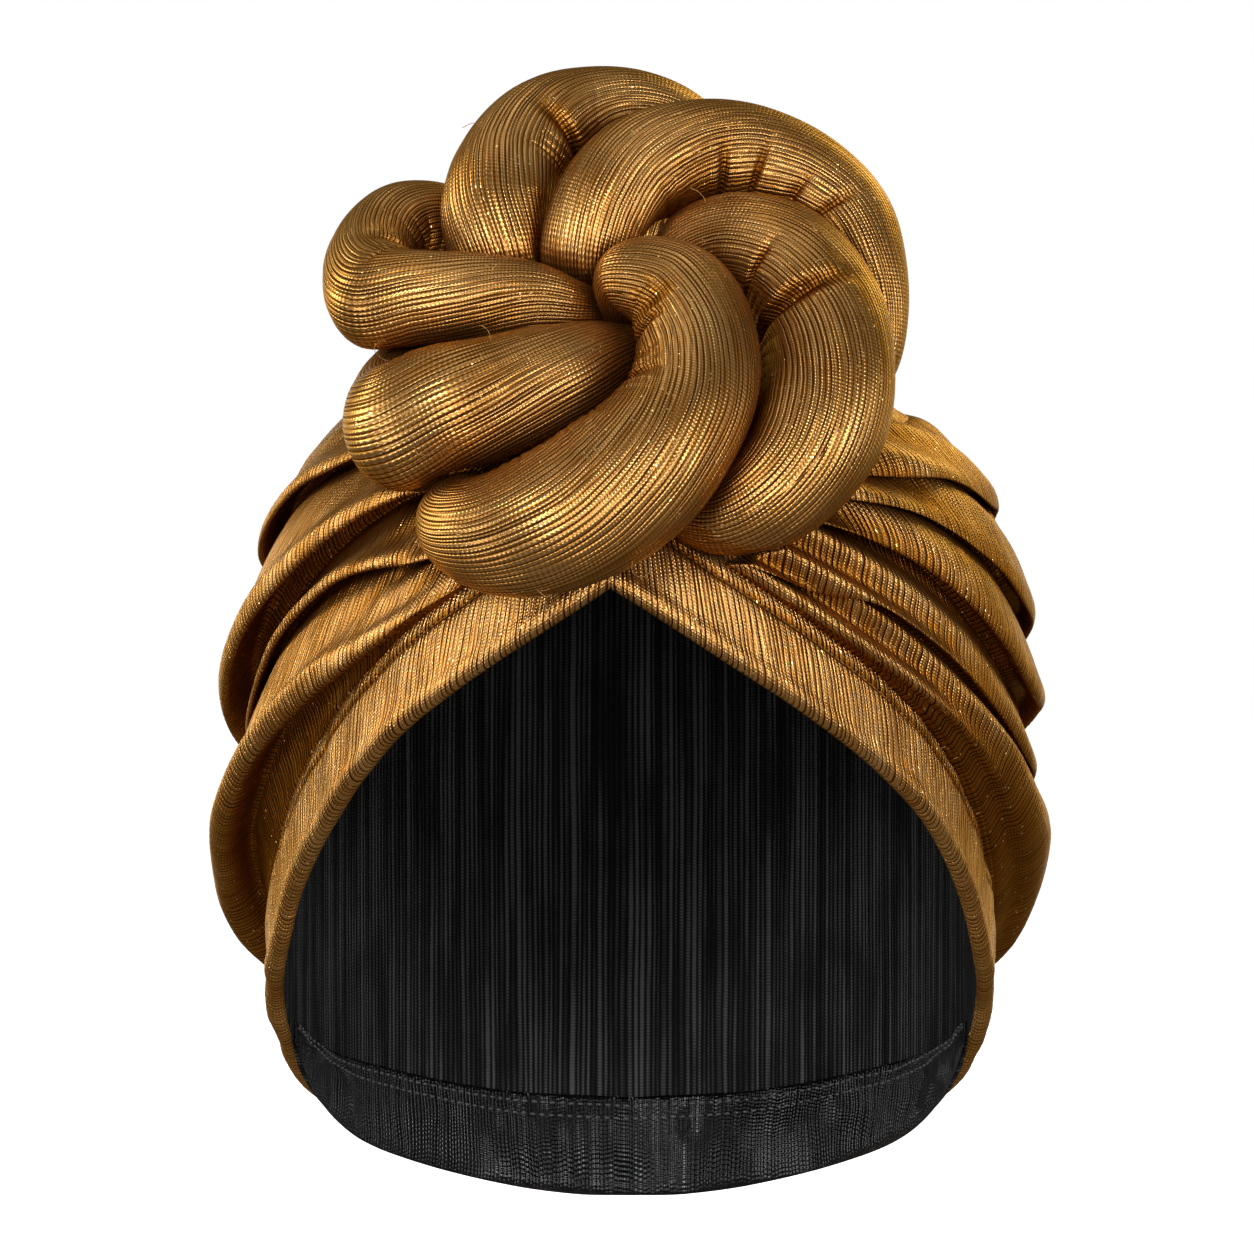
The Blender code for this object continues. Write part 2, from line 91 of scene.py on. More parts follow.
# Each fold's crest at stations along the way round, from the knot to the centre back: its place as a
# share of the way up from the band, its height in mm, and how full it is behind the crest
FOLD_STATIONS = (0.10, 0.18, 0.24, 0.30, 0.36, 0.42, 0.50, 0.60, 1.0)
FOLDS = {
    "drape_right": (
        ((0.00, 0.00, 0.042, 0.083, 0.110, 0.112, 0.095, 0.090, 0.075),
         (1.5, 3.0, 5.0, 8.0, 10.5, 12.4, 13.8, 15.5, 4.0), 0.30),
        ((0.08, 0.14, 0.200, 0.250, 0.275, 0.285, 0.270, 0.240, 0.225),
         (2.0, 3.5, 5.0, 6.0, 6.0, 5.5, 5.0, 4.0, 3.5), 0.20),
        ((0.22, 0.30, 0.335, 0.345, 0.345, 0.350, 0.335, 0.344, 0.358),
         (2.0, 4.0, 6.5, 8.8, 10.8, 12.0, 11.9, 10.0, 4.5), 0.40),
        ((0.36, 0.42, 0.460, 0.480, 0.500, 0.525, 0.520, 0.545, 0.560),
         (1.5, 3.0, 4.5, 5.8, 6.9, 7.8, 7.9, 7.0, 4.0), 0.70),
        ((0.60, 0.66, 0.700, 0.730, 0.760, 0.770, 0.778, 0.786, 0.800),
         (1.0, 1.5, 1.5, 1.5, 1.5, 1.5, 2.0, 3.0, 3.0), 0.80),
    ),
    "drape_left": (
        ((0.00, 0.00, 0.030, 0.060, 0.090, 0.115, 0.135, 0.120, 0.085),
         (1.0, 1.5, 3.0, 5.5, 8.5, 11.0, 13.0, 15.0, 4.0), 0.60),
        ((0.015, 0.075, 0.125, 0.140, 0.155, 0.180, 0.220, 0.222, 0.214),
         (2.0, 3.0, 5.0, 7.0, 8.3, 9.0, 9.0, 8.0, 3.5), 0.75),
        ((0.12, 0.21, 0.262, 0.277, 0.272, 0.285, 0.330, 0.340, 0.342),
         (2.5, 4.0, 7.0, 9.8, 12.0, 13.0, 12.0, 9.0, 4.5), 0.65),
        ((0.20, 0.275, 0.325, 0.368, 0.385, 0.405, 0.440, 0.456, 0.483),
         (2.5, 4.0, 6.5, 9.0, 11.3, 12.4, 11.6, 9.0, 4.0), 0.60),
        ((0.28, 0.35, 0.385, 0.430, 0.485, 0.520, 0.565, 0.590, 0.620),
         (2.0, 3.5, 5.5, 7.5, 9.2, 10.1, 9.4, 7.0, 3.5), 0.60),
        ((0.36, 0.43, 0.480, 0.530, 0.580, 0.630, 0.700, 0.760, 0.800),
         (1.0, 2.0, 3.0, 3.5, 3.5, 3.0, 2.6, 3.0, 3.0), 0.80),
    ),
}
# How full the lowest fold is below its crest, away from the knot, and where on the way round it is so
FIRST_FRONT = {"drape_right": 0.1, "drape_left": 0.85}
FRONT_STARTS = 0.2
FRONT_FULL = 0.38
# How high the creases lie, as a share of the folds beside them, and how far the crests hang over them
CREASE_HEIGHT = {"drape_right": 0.16, "drape_left": 0.62}
OVERHANG = {"drape_right": 0.16, "drape_left": 0.07}

# Each padded roll as stations along its middle line: x, y, z and its radius there
ROLLS = {
    "knot_roll_front": (
        (4.4, -62.9, 7.8, 5.0),
        (-0.9, -72.0, 13.0, 6.8),
        (1.3, -78.0, 17.7, 9.4),
        (10.5, -85.3, 13.7, 11.8),
        (15.0, -93.3, 1.6, 13.5),
        (13.0, -100.7, -11.3, 14.6),
        (4.7, -106.3, -22.7, 15.2),
        (-7.4, -108.6, -31.8, 15.4),
        (-20.0, -108.8, -37.2, 14.5),
        (-30.2, -104.3, -38.3, 12.6),
        (-36.5, -95.0, -35.2, 10.4),
        (-33.5, -84.0, -27.0, 9.0),
    ),
    "knot_roll_right": (
        (6.7, -53.9, 17.9, 6.2),
        (13.7, -60.9, 26.5, 7.8),
        (24.8, -67.0, 28.2, 9.5),
        (36.4, -72.4, 22.2, 11.5),
        (43.7, -79.6, 9.7, 13.2),
        (44.6, -87.0, -4.8, 13.8),
        (40.3, -92.4, -17.6, 13.8),
        (31.5, -95.3, -27.9, 13.1),
        (21.5, -93.6, -32.0, 11.7),
        (12.5, -89.5, -29.0, 10.0),
        (5.0, -82.0, -18.0, 9.3),
    ),
    "knot_roll_lower_left": (
        (6.6, -66.5, 3.0, 6.2),
        (-4.0, -79.3, -0.1, 9.0),
        (-15.4, -87.5, -3.9, 11.9),
        (-27.3, -90.8, -8.0, 13.8),
        (-38.2, -91.7, -11.3, 15.5),
        (-47.3, -87.3, -14.0, 15.1),
        (-51.2, -73.8, -10.6, 11.8),
        (-46.5, -59.7, -2.3, 11.2),
        (-34.5, -50.0, 4.0, 10.8),
        (-18.0, -44.0, 10.5, 10.0),
    ),
    "knot_roll_upper_left": (
        (-5.0, -67.1, 11.7, 4.6),
        (-12.0, -71.0, 11.7, 6.8),
        (-22.1, -72.3, 13.8, 9.0),
        (-34.3, -72.1, 14.0, 10.4),
        (-45.3, -71.2, 13.8, 11.0),
        (-54.5, -67.1, 14.0, 12.0),
        (-59.5, -58.1, 21.1, 9.2),
        (-57.8, -48.7, 28.6, 7.9),
        (-51.3, -41.3, 32.8, 8.6),
        (-42.0, -36.5, 31.0, 10.4),
        (-30.7, -33.5, 24.1, 10.2),
        (-16.9, -34.9, 17.8, 9.5),
    ),
    "knot_roll_top_back": (
        (-27.0, -53.8, 14.6, 9.4),
        (-28.9, -55.7, 25.2, 11.4),
        (-30.0, -52.7, 35.3, 12.4),
        (-27.2, -45.8, 45.2, 12.0),
        (-20.6, -40.2, 53.2, 11.3),
        (-10.8, -35.0, 57.5, 10.4),
        (0.4, -31.8, 58.0, 10.0),
        (10.8, -29.6, 53.0, 9.8),
        (17.0, -28.0, 43.2, 10.2),
        (13.7, -29.0, 30.9, 10.8),
        (5.8, -33.0, 19.0, 10.5),
    ),
    "knot_roll_top_right": (
        (-8.9, -55.2, 15.6, 8.4),
        (-11.0, -61.9, 24.9, 9.7),
        (-6.7, -60.8, 35.4, 10.7),
        (2.2, -56.7, 44.3, 11.2),
        (13.8, -52.7, 48.0, 11.3),
        (25.8, -50.5, 47.4, 11.5),
        (37.8, -51.4, 42.1, 11.5),
        (47.6, -55.3, 32.8, 11.0),
        (51.8, -60.5, 21.8, 10.1),
        (52.3, -62.6, 9.7, 9.6),
        (49.1, -61.7, 0.5, 10.0),
        (41.4, -55.0, 0.0, 10.6),
        (29.1, -47.6, 5.5, 10.8),
        (15.5, -42.2, 11.5, 10.0),
    ),
}
ROLL_END = 0.07  # share of a roll's length over which its tucked end rounds off
ROLL_SAMPLES = 60  # points along each middle line that the squeeze measures against
TIGHT_BEND = 0.975  # a roll gives way to itself inside a bend nearer than this share of its reach
SQUEEZE_ROUNDNESS = 9.0  # how soon a roll gives way near its neighbour
SQUEEZE_STEPS = 12  # halvings in the search for how far a roll can reach
PRESS_STEPS = 8  # halvings in the search for how high a fold can stand under the knot

# Pinched places on the knot, as the front view shows them: roll, x, z, width along the roll,
# length round it, depth
PINCHES = (
    ("knot_roll_top_back", -12.3, 50.2, 1.7, 9.0, 2.6),
    ("knot_roll_top_back", -15.0, 44.0, 1.2, 7.0, 1.6),
    ("knot_roll_top_right", 21.1, 40.8, 1.3, 6.0, 2.2),
    ("knot_roll_top_right", 27.7, 41.9, 1.1, 6.5, 2.2),
    ("knot_roll_top_right", 36.0, 38.0, 1.3, 5.0, 1.6),
    ("knot_roll_top_right", 44.4, 35.3, 1.3, 6.0, 1.8),
    ("knot_roll_right", 36.3, 15.7, 1.8, 8.0, 3.0),
    ("knot_roll_right", 29.7, 9.1, 2.0, 8.0, 3.0),
    ("knot_roll_right", 27.0, 20.0, 1.2, 6.0, 1.8),
    ("knot_roll_front", 2.1, 6.6, 1.4, 7.0, 2.0),
    ("knot_roll_front", -1.1, -4.3, 1.4, 7.0, 2.2),
    ("knot_roll_front", 4.3, 13.2, 2.2, 5.0, 1.8),
    ("knot_roll_upper_left", -51.1, 27.5, 1.8, 6.0, 2.0),
)


def along_table(rows, at):
    """The rows' other columns at values of their first one, on a smooth curve through them."""
    rows = np.array(rows, float)
    keys = rows[:, 0]
    last = len(keys) - 1
    at = np.clip(np.asarray(at, float), keys[0], keys[-1])
    low = np.clip(np.searchsorted(keys, at, side="right") - 1, 0, last - 1)
    before = np.maximum(np.arange(last + 1) - 1, 0)
    after = np.minimum(np.arange(last + 1) + 1, last)
    slopes = (rows[after, 1:] - rows[before, 1:]) / (keys[after] - keys[before])[:, None]
    step = (keys[low + 1] - keys[low])[..., None]
    t = (at - keys[low])[..., None] / step
    return (
        (2 * t**3 - 3 * t**2 + 1) * rows[low, 1:]
        + (t**3 - 2 * t**2 + t) * step * slopes[low]
        + (3 * t**2 - 2 * t**3) * rows[low + 1, 1:]
        + (t**3 - t**2) * step * slopes[low + 1]
    )


def smooth(share):
    """A share from 0 to 1 that starts and ends gently."""
    return share * share * (3 - 2 * share)


def unit(vectors):
    return vectors / np.maximum(np.linalg.norm(vectors, axis=-1, keepdims=True), 1e-9)


def rise_or_drop(height):
    """The head form's half height above or below its centre."""
    return np.where(height > 0, RISE, DROP)


def reach(directions):
    """How far the head form's surface is from its centre in each direction."""
    x, y, z = np.moveaxis(directions, -1, 0)
    across = np.hypot(x / HALF_WIDTH, y / HALF_LENGTH)
    upward = np.abs(z) / rise_or_drop(z)
    return (across**BOXINESS + upward**BOXINESS) ** (-1 / BOXINESS)


def outward(points):
    """The head form's normal at points near its surface."""
    offset = points - HEAD_CENTRE
    x, y, z = np.moveaxis(offset, -1, 0)
    across = np.hypot(x / HALF_WIDTH, y / HALF_LENGTH) ** (BOXINESS - 2)
    upward = np.sign(z) * np.abs(z) ** (BOXINESS - 1) / rise_or_drop(z) ** BOXINESS
    return unit(np.stack([across * x / HALF_WIDTH**2, across * y / HALF_LENGTH**2, upward], -1))


def on_form(directions, height=0.0):
    """Points over the head form, raised along its normal."""
    points = HEAD_CENTRE + directions * reach(directions)[..., None]
    return points + outward(points) * np.asarray(height)[..., None]


def lean(points, way=1):
    """Points moved sideways with the leaning peak, or back again."""
    share = np.clip((points[..., 1] - LEAN_STARTS) / (LEAN_FULL - LEAN_STARTS), 0, 1)
    moved = points.copy()
    moved[..., 0] += way * PEAK_LEAN * smooth(share)
    return moved


def above_form(points):
    """How far points are outside the leaning head form, measured from its centre."""
    offset = lean(points, -1) - HEAD_CENTRE
    return np.linalg.norm(offset, axis=-1) - reach(unit(offset))


def at_azimuth(azimuth, height):
    """The directions to the form's surface at azimuths from the front and heights."""
    lift = np.asarray(height, float) - HEAD_CENTRE[2]
    share = (1 - (np.abs(lift) / rise_or_drop(lift)) ** BOXINESS) ** (1 / BOXINESS)
    turn = np.radians(azimuth)
    x = HALF_WIDTH * share * np.sin(turn)
    y = -HALF_LENGTH * share * np.cos(turn)
    return unit(np.stack(np.broadcast_arrays(x, y, lift), -1))


def between(start, end, share):
    """The directions a share of the way round from start to end, for each column and row."""
    turn = np.arccos(np.clip(np.sum(start * end, axis=-1), -1, 1))[:, None, None]
    share = share[..., None]
    way = np.sin((1 - share) * turn) * start[:, None] + np.sin(share * turn) * end[:, None]
    return way / np.sin(turn)


def fold_sections(side, ways):
    """The rim's and the crown's directions of the sections across the folds, and their lengths."""
    azimuth = 180 * ways
    rim = at_azimuth(azimuth, along_table(RIM, azimuth)[:, 0]) * np.array([side, 1, 1])
    angle = np.radians(along_table(CROWN_LINE, ways)[:, 0])
    crown = np.stack([0 * angle, -np.cos(angle), np.sin(angle)], -1)
    turn = np.arccos(np.clip(np.sum(rim * crown, axis=-1), -1, 1))
    return rim, crown, turn * reach(rim)


def middle_line(rows, count):
    """Points along a roll's middle line, closer together where it is thin, with the radius at each."""
    rows = np.array(rows, float)
    steps = np.linalg.norm(np.diff(rows[:, :3], axis=0), axis=1)
    steps /= (rows[1:, 3] + rows[:-1, 3]) / 2
    keyed = np.column_stack([np.concatenate([[0], np.cumsum(steps)]), rows])
    line = along_table(keyed, np.linspace(0, keyed[-1, 0], count))
    return line[:, :3], line[:, 3]


ROLL_LINES = {name: middle_line(rows, ROLL_SAMPLES) for name, rows in ROLLS.items()}


def off_rolls(points, names, as_share=True):
    """Each point's distance from the nearest of some rolls' middle lines, as a share of that roll's
    radius or in mm."""
    best = np.full(points.shape[:-1], np.inf)
    for name in names:
        for middle, size in zip(*ROLL_LINES[name]):
            away = np.sqrt(((points - middle) ** 2).sum(axis=-1))
            np.minimum(best, away / size if as_share else away, out=best)
    return best


def frames_along(line):
    """Two directions across a line at each of its points, carried along without twisting."""
    tangents = unit(np.gradient(line, axis=0))
    across = np.cross(tangents[0], [0.0, 1.0, 0.0])
    first = []
    for tangent in tangents:
        across = unit(across - tangent * (across @ tangent))
        first.append(across)
    first = np.array(first)
    return first, np.cross(tangents, first)


# Uneven cloth: smooth random heights from seeded knots, from -1 to 1


def ripple(seed, at):
    """Uneven heights along a line, with a knot at each whole number."""
    knots = np.random.default_rng(seed).uniform(-1, 1, 2048)
    low = np.floor(at).astype(int)
    t = smooth(at - low)
    return knots[low % 2048] * (1 - t) + knots[(low + 1) % 2048] * t


def crumple(seed, along, across, wrap=256):
    """Uneven heights over a piece of cloth, which join up after so many knots across."""
    knots = np.random.default_rng(seed).uniform(-1, 1, (256, wrap))
    along, across = np.broadcast_arrays(along, across)
    i, j = np.floor(along).astype(int), np.floor(across).astype(int)
    s, t = smooth(along - i), smooth(across - j)
    near = knots[i % 256, j % wrap] * (1 - t) + knots[i % 256, (j + 1) % wrap] * t
    far = knots[(i + 1) % 256, j % wrap] * (1 - t) + knots[(i + 1) % 256, (j + 1) % wrap] * t
    return near * (1 - s) + far * s


def ribs(at, fullness=0.6):
    """Rounded ribs with narrow grooves at the whole numbers: 0 in a groove and 1 on a rib."""
    return np.abs(np.sin(math.pi * at)) ** fullness


# Meshes
MERGE_WITHIN = 0.004  # points of a closed section that are this near are one


def in_scene(name, data):
    """An object of this data, linked to the scene."""
    made = bpy.data.objects.new(name, data)
    bpy.context.scene.collection.objects.link(made)
    return made


def vertex_places(mesh):
    """Where a mesh's vertices are, as an array."""
    flat = np.empty(len(mesh.vertices) * 3)
    mesh.vertices.foreach_get("co", flat)
    return flat.reshape(-1, 3)


def cloth_grid(name, points, laid, hollow, closed=False):
    """A mesh from a grid laid onto rows of points in mm. The cloth's own measures, in mm across and
    along its pleats, go to its UV map, and how much painted shade it gets in hollows, creases and seams
    goes to an attribute."""
    columns, rows = points.shape[0] - 1, points.shape[1] - 1
    shape = bmesh.new()
    bmesh.ops.create_grid(shape, x_segments=columns, y_segments=rows, size=0.5)
    mesh = bpy.data.meshes.new(name)
    shape.to_mesh(mesh)
    place = np.rint((vertex_places(mesh)[:, :2] + 0.5) * [columns, rows]).astype(int)
    i, j = place[:, 0], place[:, 1]
    mesh.vertices.foreach_set("co", (points[i, j] * MM).ravel())
    corners = np.empty(len(mesh.loops), int)
    mesh.loops.foreach_get("vertex_index", corners)
    cloth = mesh.uv_layers.new(name="cloth")
    cloth.data.foreach_set("uv", (laid[i, j][corners] * MM).ravel())
    painted_shade = mesh.attributes.new("painted_shade", "FLOAT", "POINT")
    painted_shade.data.foreach_set("value", hollow[i, j].ravel())
    shape.free()
    if closed:
        shape = bmesh.new()
        shape.from_mesh(mesh)
        bmesh.ops.remove_doubles(shape, verts=shape.verts, dist=MERGE_WITHIN * MM)
        bmesh.ops.recalc_face_normals(shape, faces=shape.faces)
        shape.to_mesh(mesh)
        shape.free()
    mesh.shade_smooth()
    return in_scene(name, mesh)


def facing_out(piece):
    """Turns an open sheet's faces so that they face away from the head's centre."""
    mesh = piece.data
    centre = Vector(HEAD_CENTRE * MM)
    if sum((face.center - centre).dot(face.normal) for face in mesh.polygons) < 0:
        mesh.flip_normals()


def lengths(points, axis):
    """How far along the cloth each point lies, in mm, down the columns or along the rows."""
    steps = np.linalg.norm(np.diff(points, axis=axis), axis=-1)
    start = np.zeros_like(np.take(steps, [0], axis=axis))
    return np.concatenate([start, np.cumsum(steps, axis=axis)], axis=axis)


def stitches(name, line, pitch, length, radius):
    """A row of small stitches along a line on the cloth, as one mesh."""
    way = lengths(line, 0)
    places = np.arange(pitch, way[-1] - pitch, pitch)
    shape = bmesh.new()
    ends = [
        np.stack([np.interp(places + shift, way, line[:, axis]) for axis in range(3)], -1)
        for shift in (-length / 2, length / 2)
    ]
    for start, end in zip(*ends):
        turn = Vector(end - start).to_track_quat("X", "Z").to_matrix().to_4x4()
        size = Matrix.Diagonal((length / 2, radius, radius, 1 / MM)) * MM
        place = Matrix.Translation(Vector((start + end) / 2 * MM)) @ turn @ size
        bmesh.ops.create_uvsphere(shape, u_segments=6, v_segments=4, radius=1, matrix=place)
    bmesh.ops.recalc_face_normals(shape, faces=shape.faces)
    mesh = bpy.data.meshes.new(name)
    shape.to_mesh(mesh)
    shape.free()
    mesh.shade_smooth()
    return in_scene(name, mesh)


def surface_normals(points):
    """The grid's normals, the same way round as its rows and columns run."""
    return unit(np.cross(np.gradient(points, axis=0), np.gradient(points, axis=1)))


# Padded rolls
ROLL_RINGS = 240
ROLL_SIDES = 128
SOFT_RIDGE = 6.0  # spacing of the soft ridges along a roll
FINE_RIDGE = 2.3
TWIST = 0.20  # how far the pleats turn round a roll for each mm along it
BEND_WRINKLE = 4.2  # spacing of the wrinkles inside a bend
# How deep each kind of unevenness is, mm: lumps of the padding, soft and fine ridges, bend wrinkles
LUMPS = 0.65
SOFT_DEPTH = 0.22
FINE_DEPTH = 0.07
WRINKLE_DEPTH = 1.7
ROLL_BACK = 6.0  # mm behind a roll's middle from where no pinched place lies


def roll_reach(name, line, radius, directions):
    """How far a roll reaches in each direction, giving way to its neighbours and the drapes."""
    centres = np.broadcast_to(line[:, None], directions.shape)
    size = np.broadcast_to(radius[:, None], directions.shape[:2])
    inward = np.clip(np.sum(unit(KNOT_MIDDLE - centres) * directions, axis=-1), 0, 1)
    wanted = size * (1 + FULLER_INSIDE * inward**2)
    others = [other for other in ROLLS if other != name]
    inside, outside = np.zeros(size.shape), wanted * 1.5
    for _ in range(SQUEEZE_STEPS):
        middle = (inside + outside) / 2
        points = centres + directions * middle[..., None]
        height = above_form(points)
        clear = middle / size + ROLL_CLEARANCE < off_rolls(points, others)
        clear &= (height > KNOT_SEAT) & ((middle < size) | (height > OVER_FOLDS))
        clear &= off_rolls(points, [name], as_share=False) > TIGHT_BEND * middle
        inside = np.where(clear, middle, inside)
        outside = np.where(clear, outside, middle)
    free = inside / wanted + 1e-3
    return wanted * (1 + free**-SQUEEZE_ROUNDNESS) ** (-1 / SQUEEZE_ROUNDNESS), free


def roll_relief(name, along, turn, girth, inside_bend):
    """How far the cloth of a roll stands in or out: soft ridges, pleats and wrinkles inside bends."""
    seed = 20 * list(ROLLS).index(name)
    lay = turn + along * TWIST / girth
    soft_count, fine_count = round(girth / SOFT_RIDGE), round(girth / FINE_RIDGE)
    sway = crumple(seed, along / 34, lay * 5, wrap=5)
    soft = ribs(lay * soft_count + 1.1 * sway, 0.9)
    deep = 0.5 + 0.5 * crumple(seed + 1, along / 22, lay * soft_count / 2, wrap=soft_count // 2)
    fine = ribs(lay * fine_count + 2.0 * sway + 0.5 * crumple(seed + 2, along / 9, lay * 14, wrap=14))
    shallow = 0.5 + 0.5 * crumple(seed + 3, along / 7, lay * fine_count, wrap=fine_count)
    lumps = crumple(seed + 4, along / 17, lay * 6, wrap=6)
    wrinkle = along / BEND_WRINKLE + 0.9 * crumple(seed + 5, along / 14, lay * 7, wrap=7)
    strength = 0.6 + 0.4 * crumple(seed + 6, along / 5, lay * 5, wrap=5)
    creases = (1 - ribs(wrinkle, 1.0)) ** 1.6 * strength * inside_bend
    grooves = SOFT_DEPTH * deep * (1 - soft) + FINE_DEPTH * shallow * (1 - fine)
    return LUMPS * lumps - grooves - WRINKLE_DEPTH * creases


def pinched(name, points, along, around):
    """How deep each point is drawn in by the pinched places on one roll."""
    depth = np.zeros(along.shape)
    for roll, x, z, width, length, deep in PINCHES:
        if roll != name:
            continue
        off = np.hypot(points[..., 0] - x, points[..., 2] - z)
        behind = points[..., 1] - points[..., 1].mean() > ROLL_BACK
        i, j = np.unravel_index(np.argmin(np.where(behind, np.inf, off)), off.shape)
        beside = np.abs(around - around[i, j])
        beside = np.minimum(beside, around.max() - beside)
        depth += deep * np.exp(-(((along - along[i, j]) / width) ** 2) - (beside / length) ** 2)
    return depth


def knot_roll(name):
    """A padded roll: a stuffed tube, squeezed by its neighbours, with pleats along it."""
    line, radius = middle_line(ROLLS[name], ROLL_RINGS + 1)
    first, second = frames_along(line)
    turn = np.linspace(0, 1, ROLL_SIDES + 1)
    angle = 2 * math.pi * turn[None, :, None]
    directions = first[:, None] * np.cos(angle) + second[:, None] * np.sin(angle)
    # The squeeze is worked out on every third ring and second side, and smoothed in between
    reached, free = roll_reach(name, line[::3], radius[::3], directions[::3, ::2])
    rings, sides = np.arange(ROLL_RINGS + 1), np.arange(ROLL_SIDES + 1)

    def filled(values):
        rows = np.stack([np.interp(sides, sides[::2], row) for row in values])
        return np.stack([np.interp(rings, rings[::3], column) for column in rows.T], -1)

    reached, free = filled(reached), filled(free)
    to_end = np.minimum(rings, ROLL_RINGS - rings) / (ROLL_END * ROLL_RINGS)
    rounded = np.sqrt(1 - np.clip(1 - to_end, 0, 1) ** 2)[:, None]
    along = lengths(line, 0)[:, None]
    girth = 2 * math.pi * radius.mean()
    tangents = unit(np.gradient(line, axis=0))
    bending = np.gradient(tangents, axis=0) / np.gradient(along[:, 0])[:, None]
    towards = np.sum(directions * bending[:, None], axis=-1) * radius[:, None]
    inside_bend = np.clip(towards * 1.3, 0, 1) ** 1.3
    relief = roll_relief(name, along, turn[None], girth, inside_bend)
    plain = line[:, None] + directions * (reached * rounded)[..., None]
    everywhere = np.broadcast_to(along, relief.shape)
    around = np.broadcast_to(turn[None] * girth, relief.shape)
    pinch = pinched(name, plain, everywhere, around)
    thin = np.clip(radius / radius.max(), 0.4, 1)[:, None]
    reached = np.maximum(reached * rounded + (relief * thin - pinch) * rounded, 0.0)
    points = line[:, None] + directions * reached[..., None]
    points[:, -1] = points[:, 0]
    laid = np.stack([around + everywhere * TWIST, everywhere], -1)
    # Painted shade: darker where the neighbours squeeze the roll, in the pinched places and inside
    # bends
    painted_shade = np.clip(1.25 - free, 0, 1) * 1.2 + 0.35 * np.clip(pinch, 0, 2) + 0.3 * inside_bend
    return cloth_grid(f"padded_{name}", points, laid, np.clip(painted_shade, 0, 1), closed=True)


# Drapes
DRAPE_COLUMNS = 460
FOLD_FRONT_ROWS = 14
FOLD_BACK_ROWS = 20
CREST_WAVER = 0.006  # how unevenly crests run, as a share of the way up, and how uneven their heights
HEIGHT_WAVER = 0.05
CREST_ROUND = 3.2  # mm from the tip of a crest to its lip
ROLLED_EDGE = {"drape_right": 3.0, "drape_left": 1.4}  # how far a crest stands over its fold
ROLLED_WIDTH = 3.6
RIDGES = {"drape_right": (10, 0.26), "drape_left": (9, 0.55)}  # how many, how far round they run
RIDGE_HEIGHT = {"drape_right": 1.8, "drape_left": 3.6}
PLEAT = 2.9  # spacing of the coarser pleats across the folds
# How far a tall fold's lip bulges forward and the hollow under it goes back, and where each lies on
# the fold's front: its middle and half its width, as shares of the way from crease to crest
LIP_BULGE = {"drape_right": 2.8, "drape_left": 1.2}
LIP_PLACE = (0.72, 0.17)
LIP_HOLLOW = {"drape_right": 8.0, "drape_left": 2.5}
HOLLOW_PLACE = (0.3, 0.15)
UPPER_HOLLOW = 0.5  # of the folds above the lowest one, as a share
TALL_FOLD = 11.0
UNEVEN = 0.5  # small wrinkles in the folds
PLEAT_DEPTH = 0.13
PLEAT_PUFF = 0.12
SEAM_TUCK = 1.4  # how far the drape's edges turn in at the band, the crown's middle and the back
LAY_START = 400.0  # keeps the pleats' measure above nought


def off_middle(side, points, gap=MIDDLE_GAP):
    """Points near the middle plane moved aside, which keeps the two sides apart there."""
    points[..., 0] += side * gap * np.exp(-((points[..., 0] / MIDDLE_REACH) ** 2))
    return points


def curve(knots, t):
    """Points of a Bezier curve whose four knots are columns."""
    a, b, c, d = (knot[:, None] for knot in knots)
    return a * (1 - t) ** 3 + 3 * b * t * (1 - t) ** 2 + 3 * c * t**2 * (1 - t) + d * t**3


def hump(at, place):
    """A smooth rise from 0 to 1 and back at one place: its middle and half its width."""
    return np.exp(-(((at - place[0]) / place[1]) ** 2))


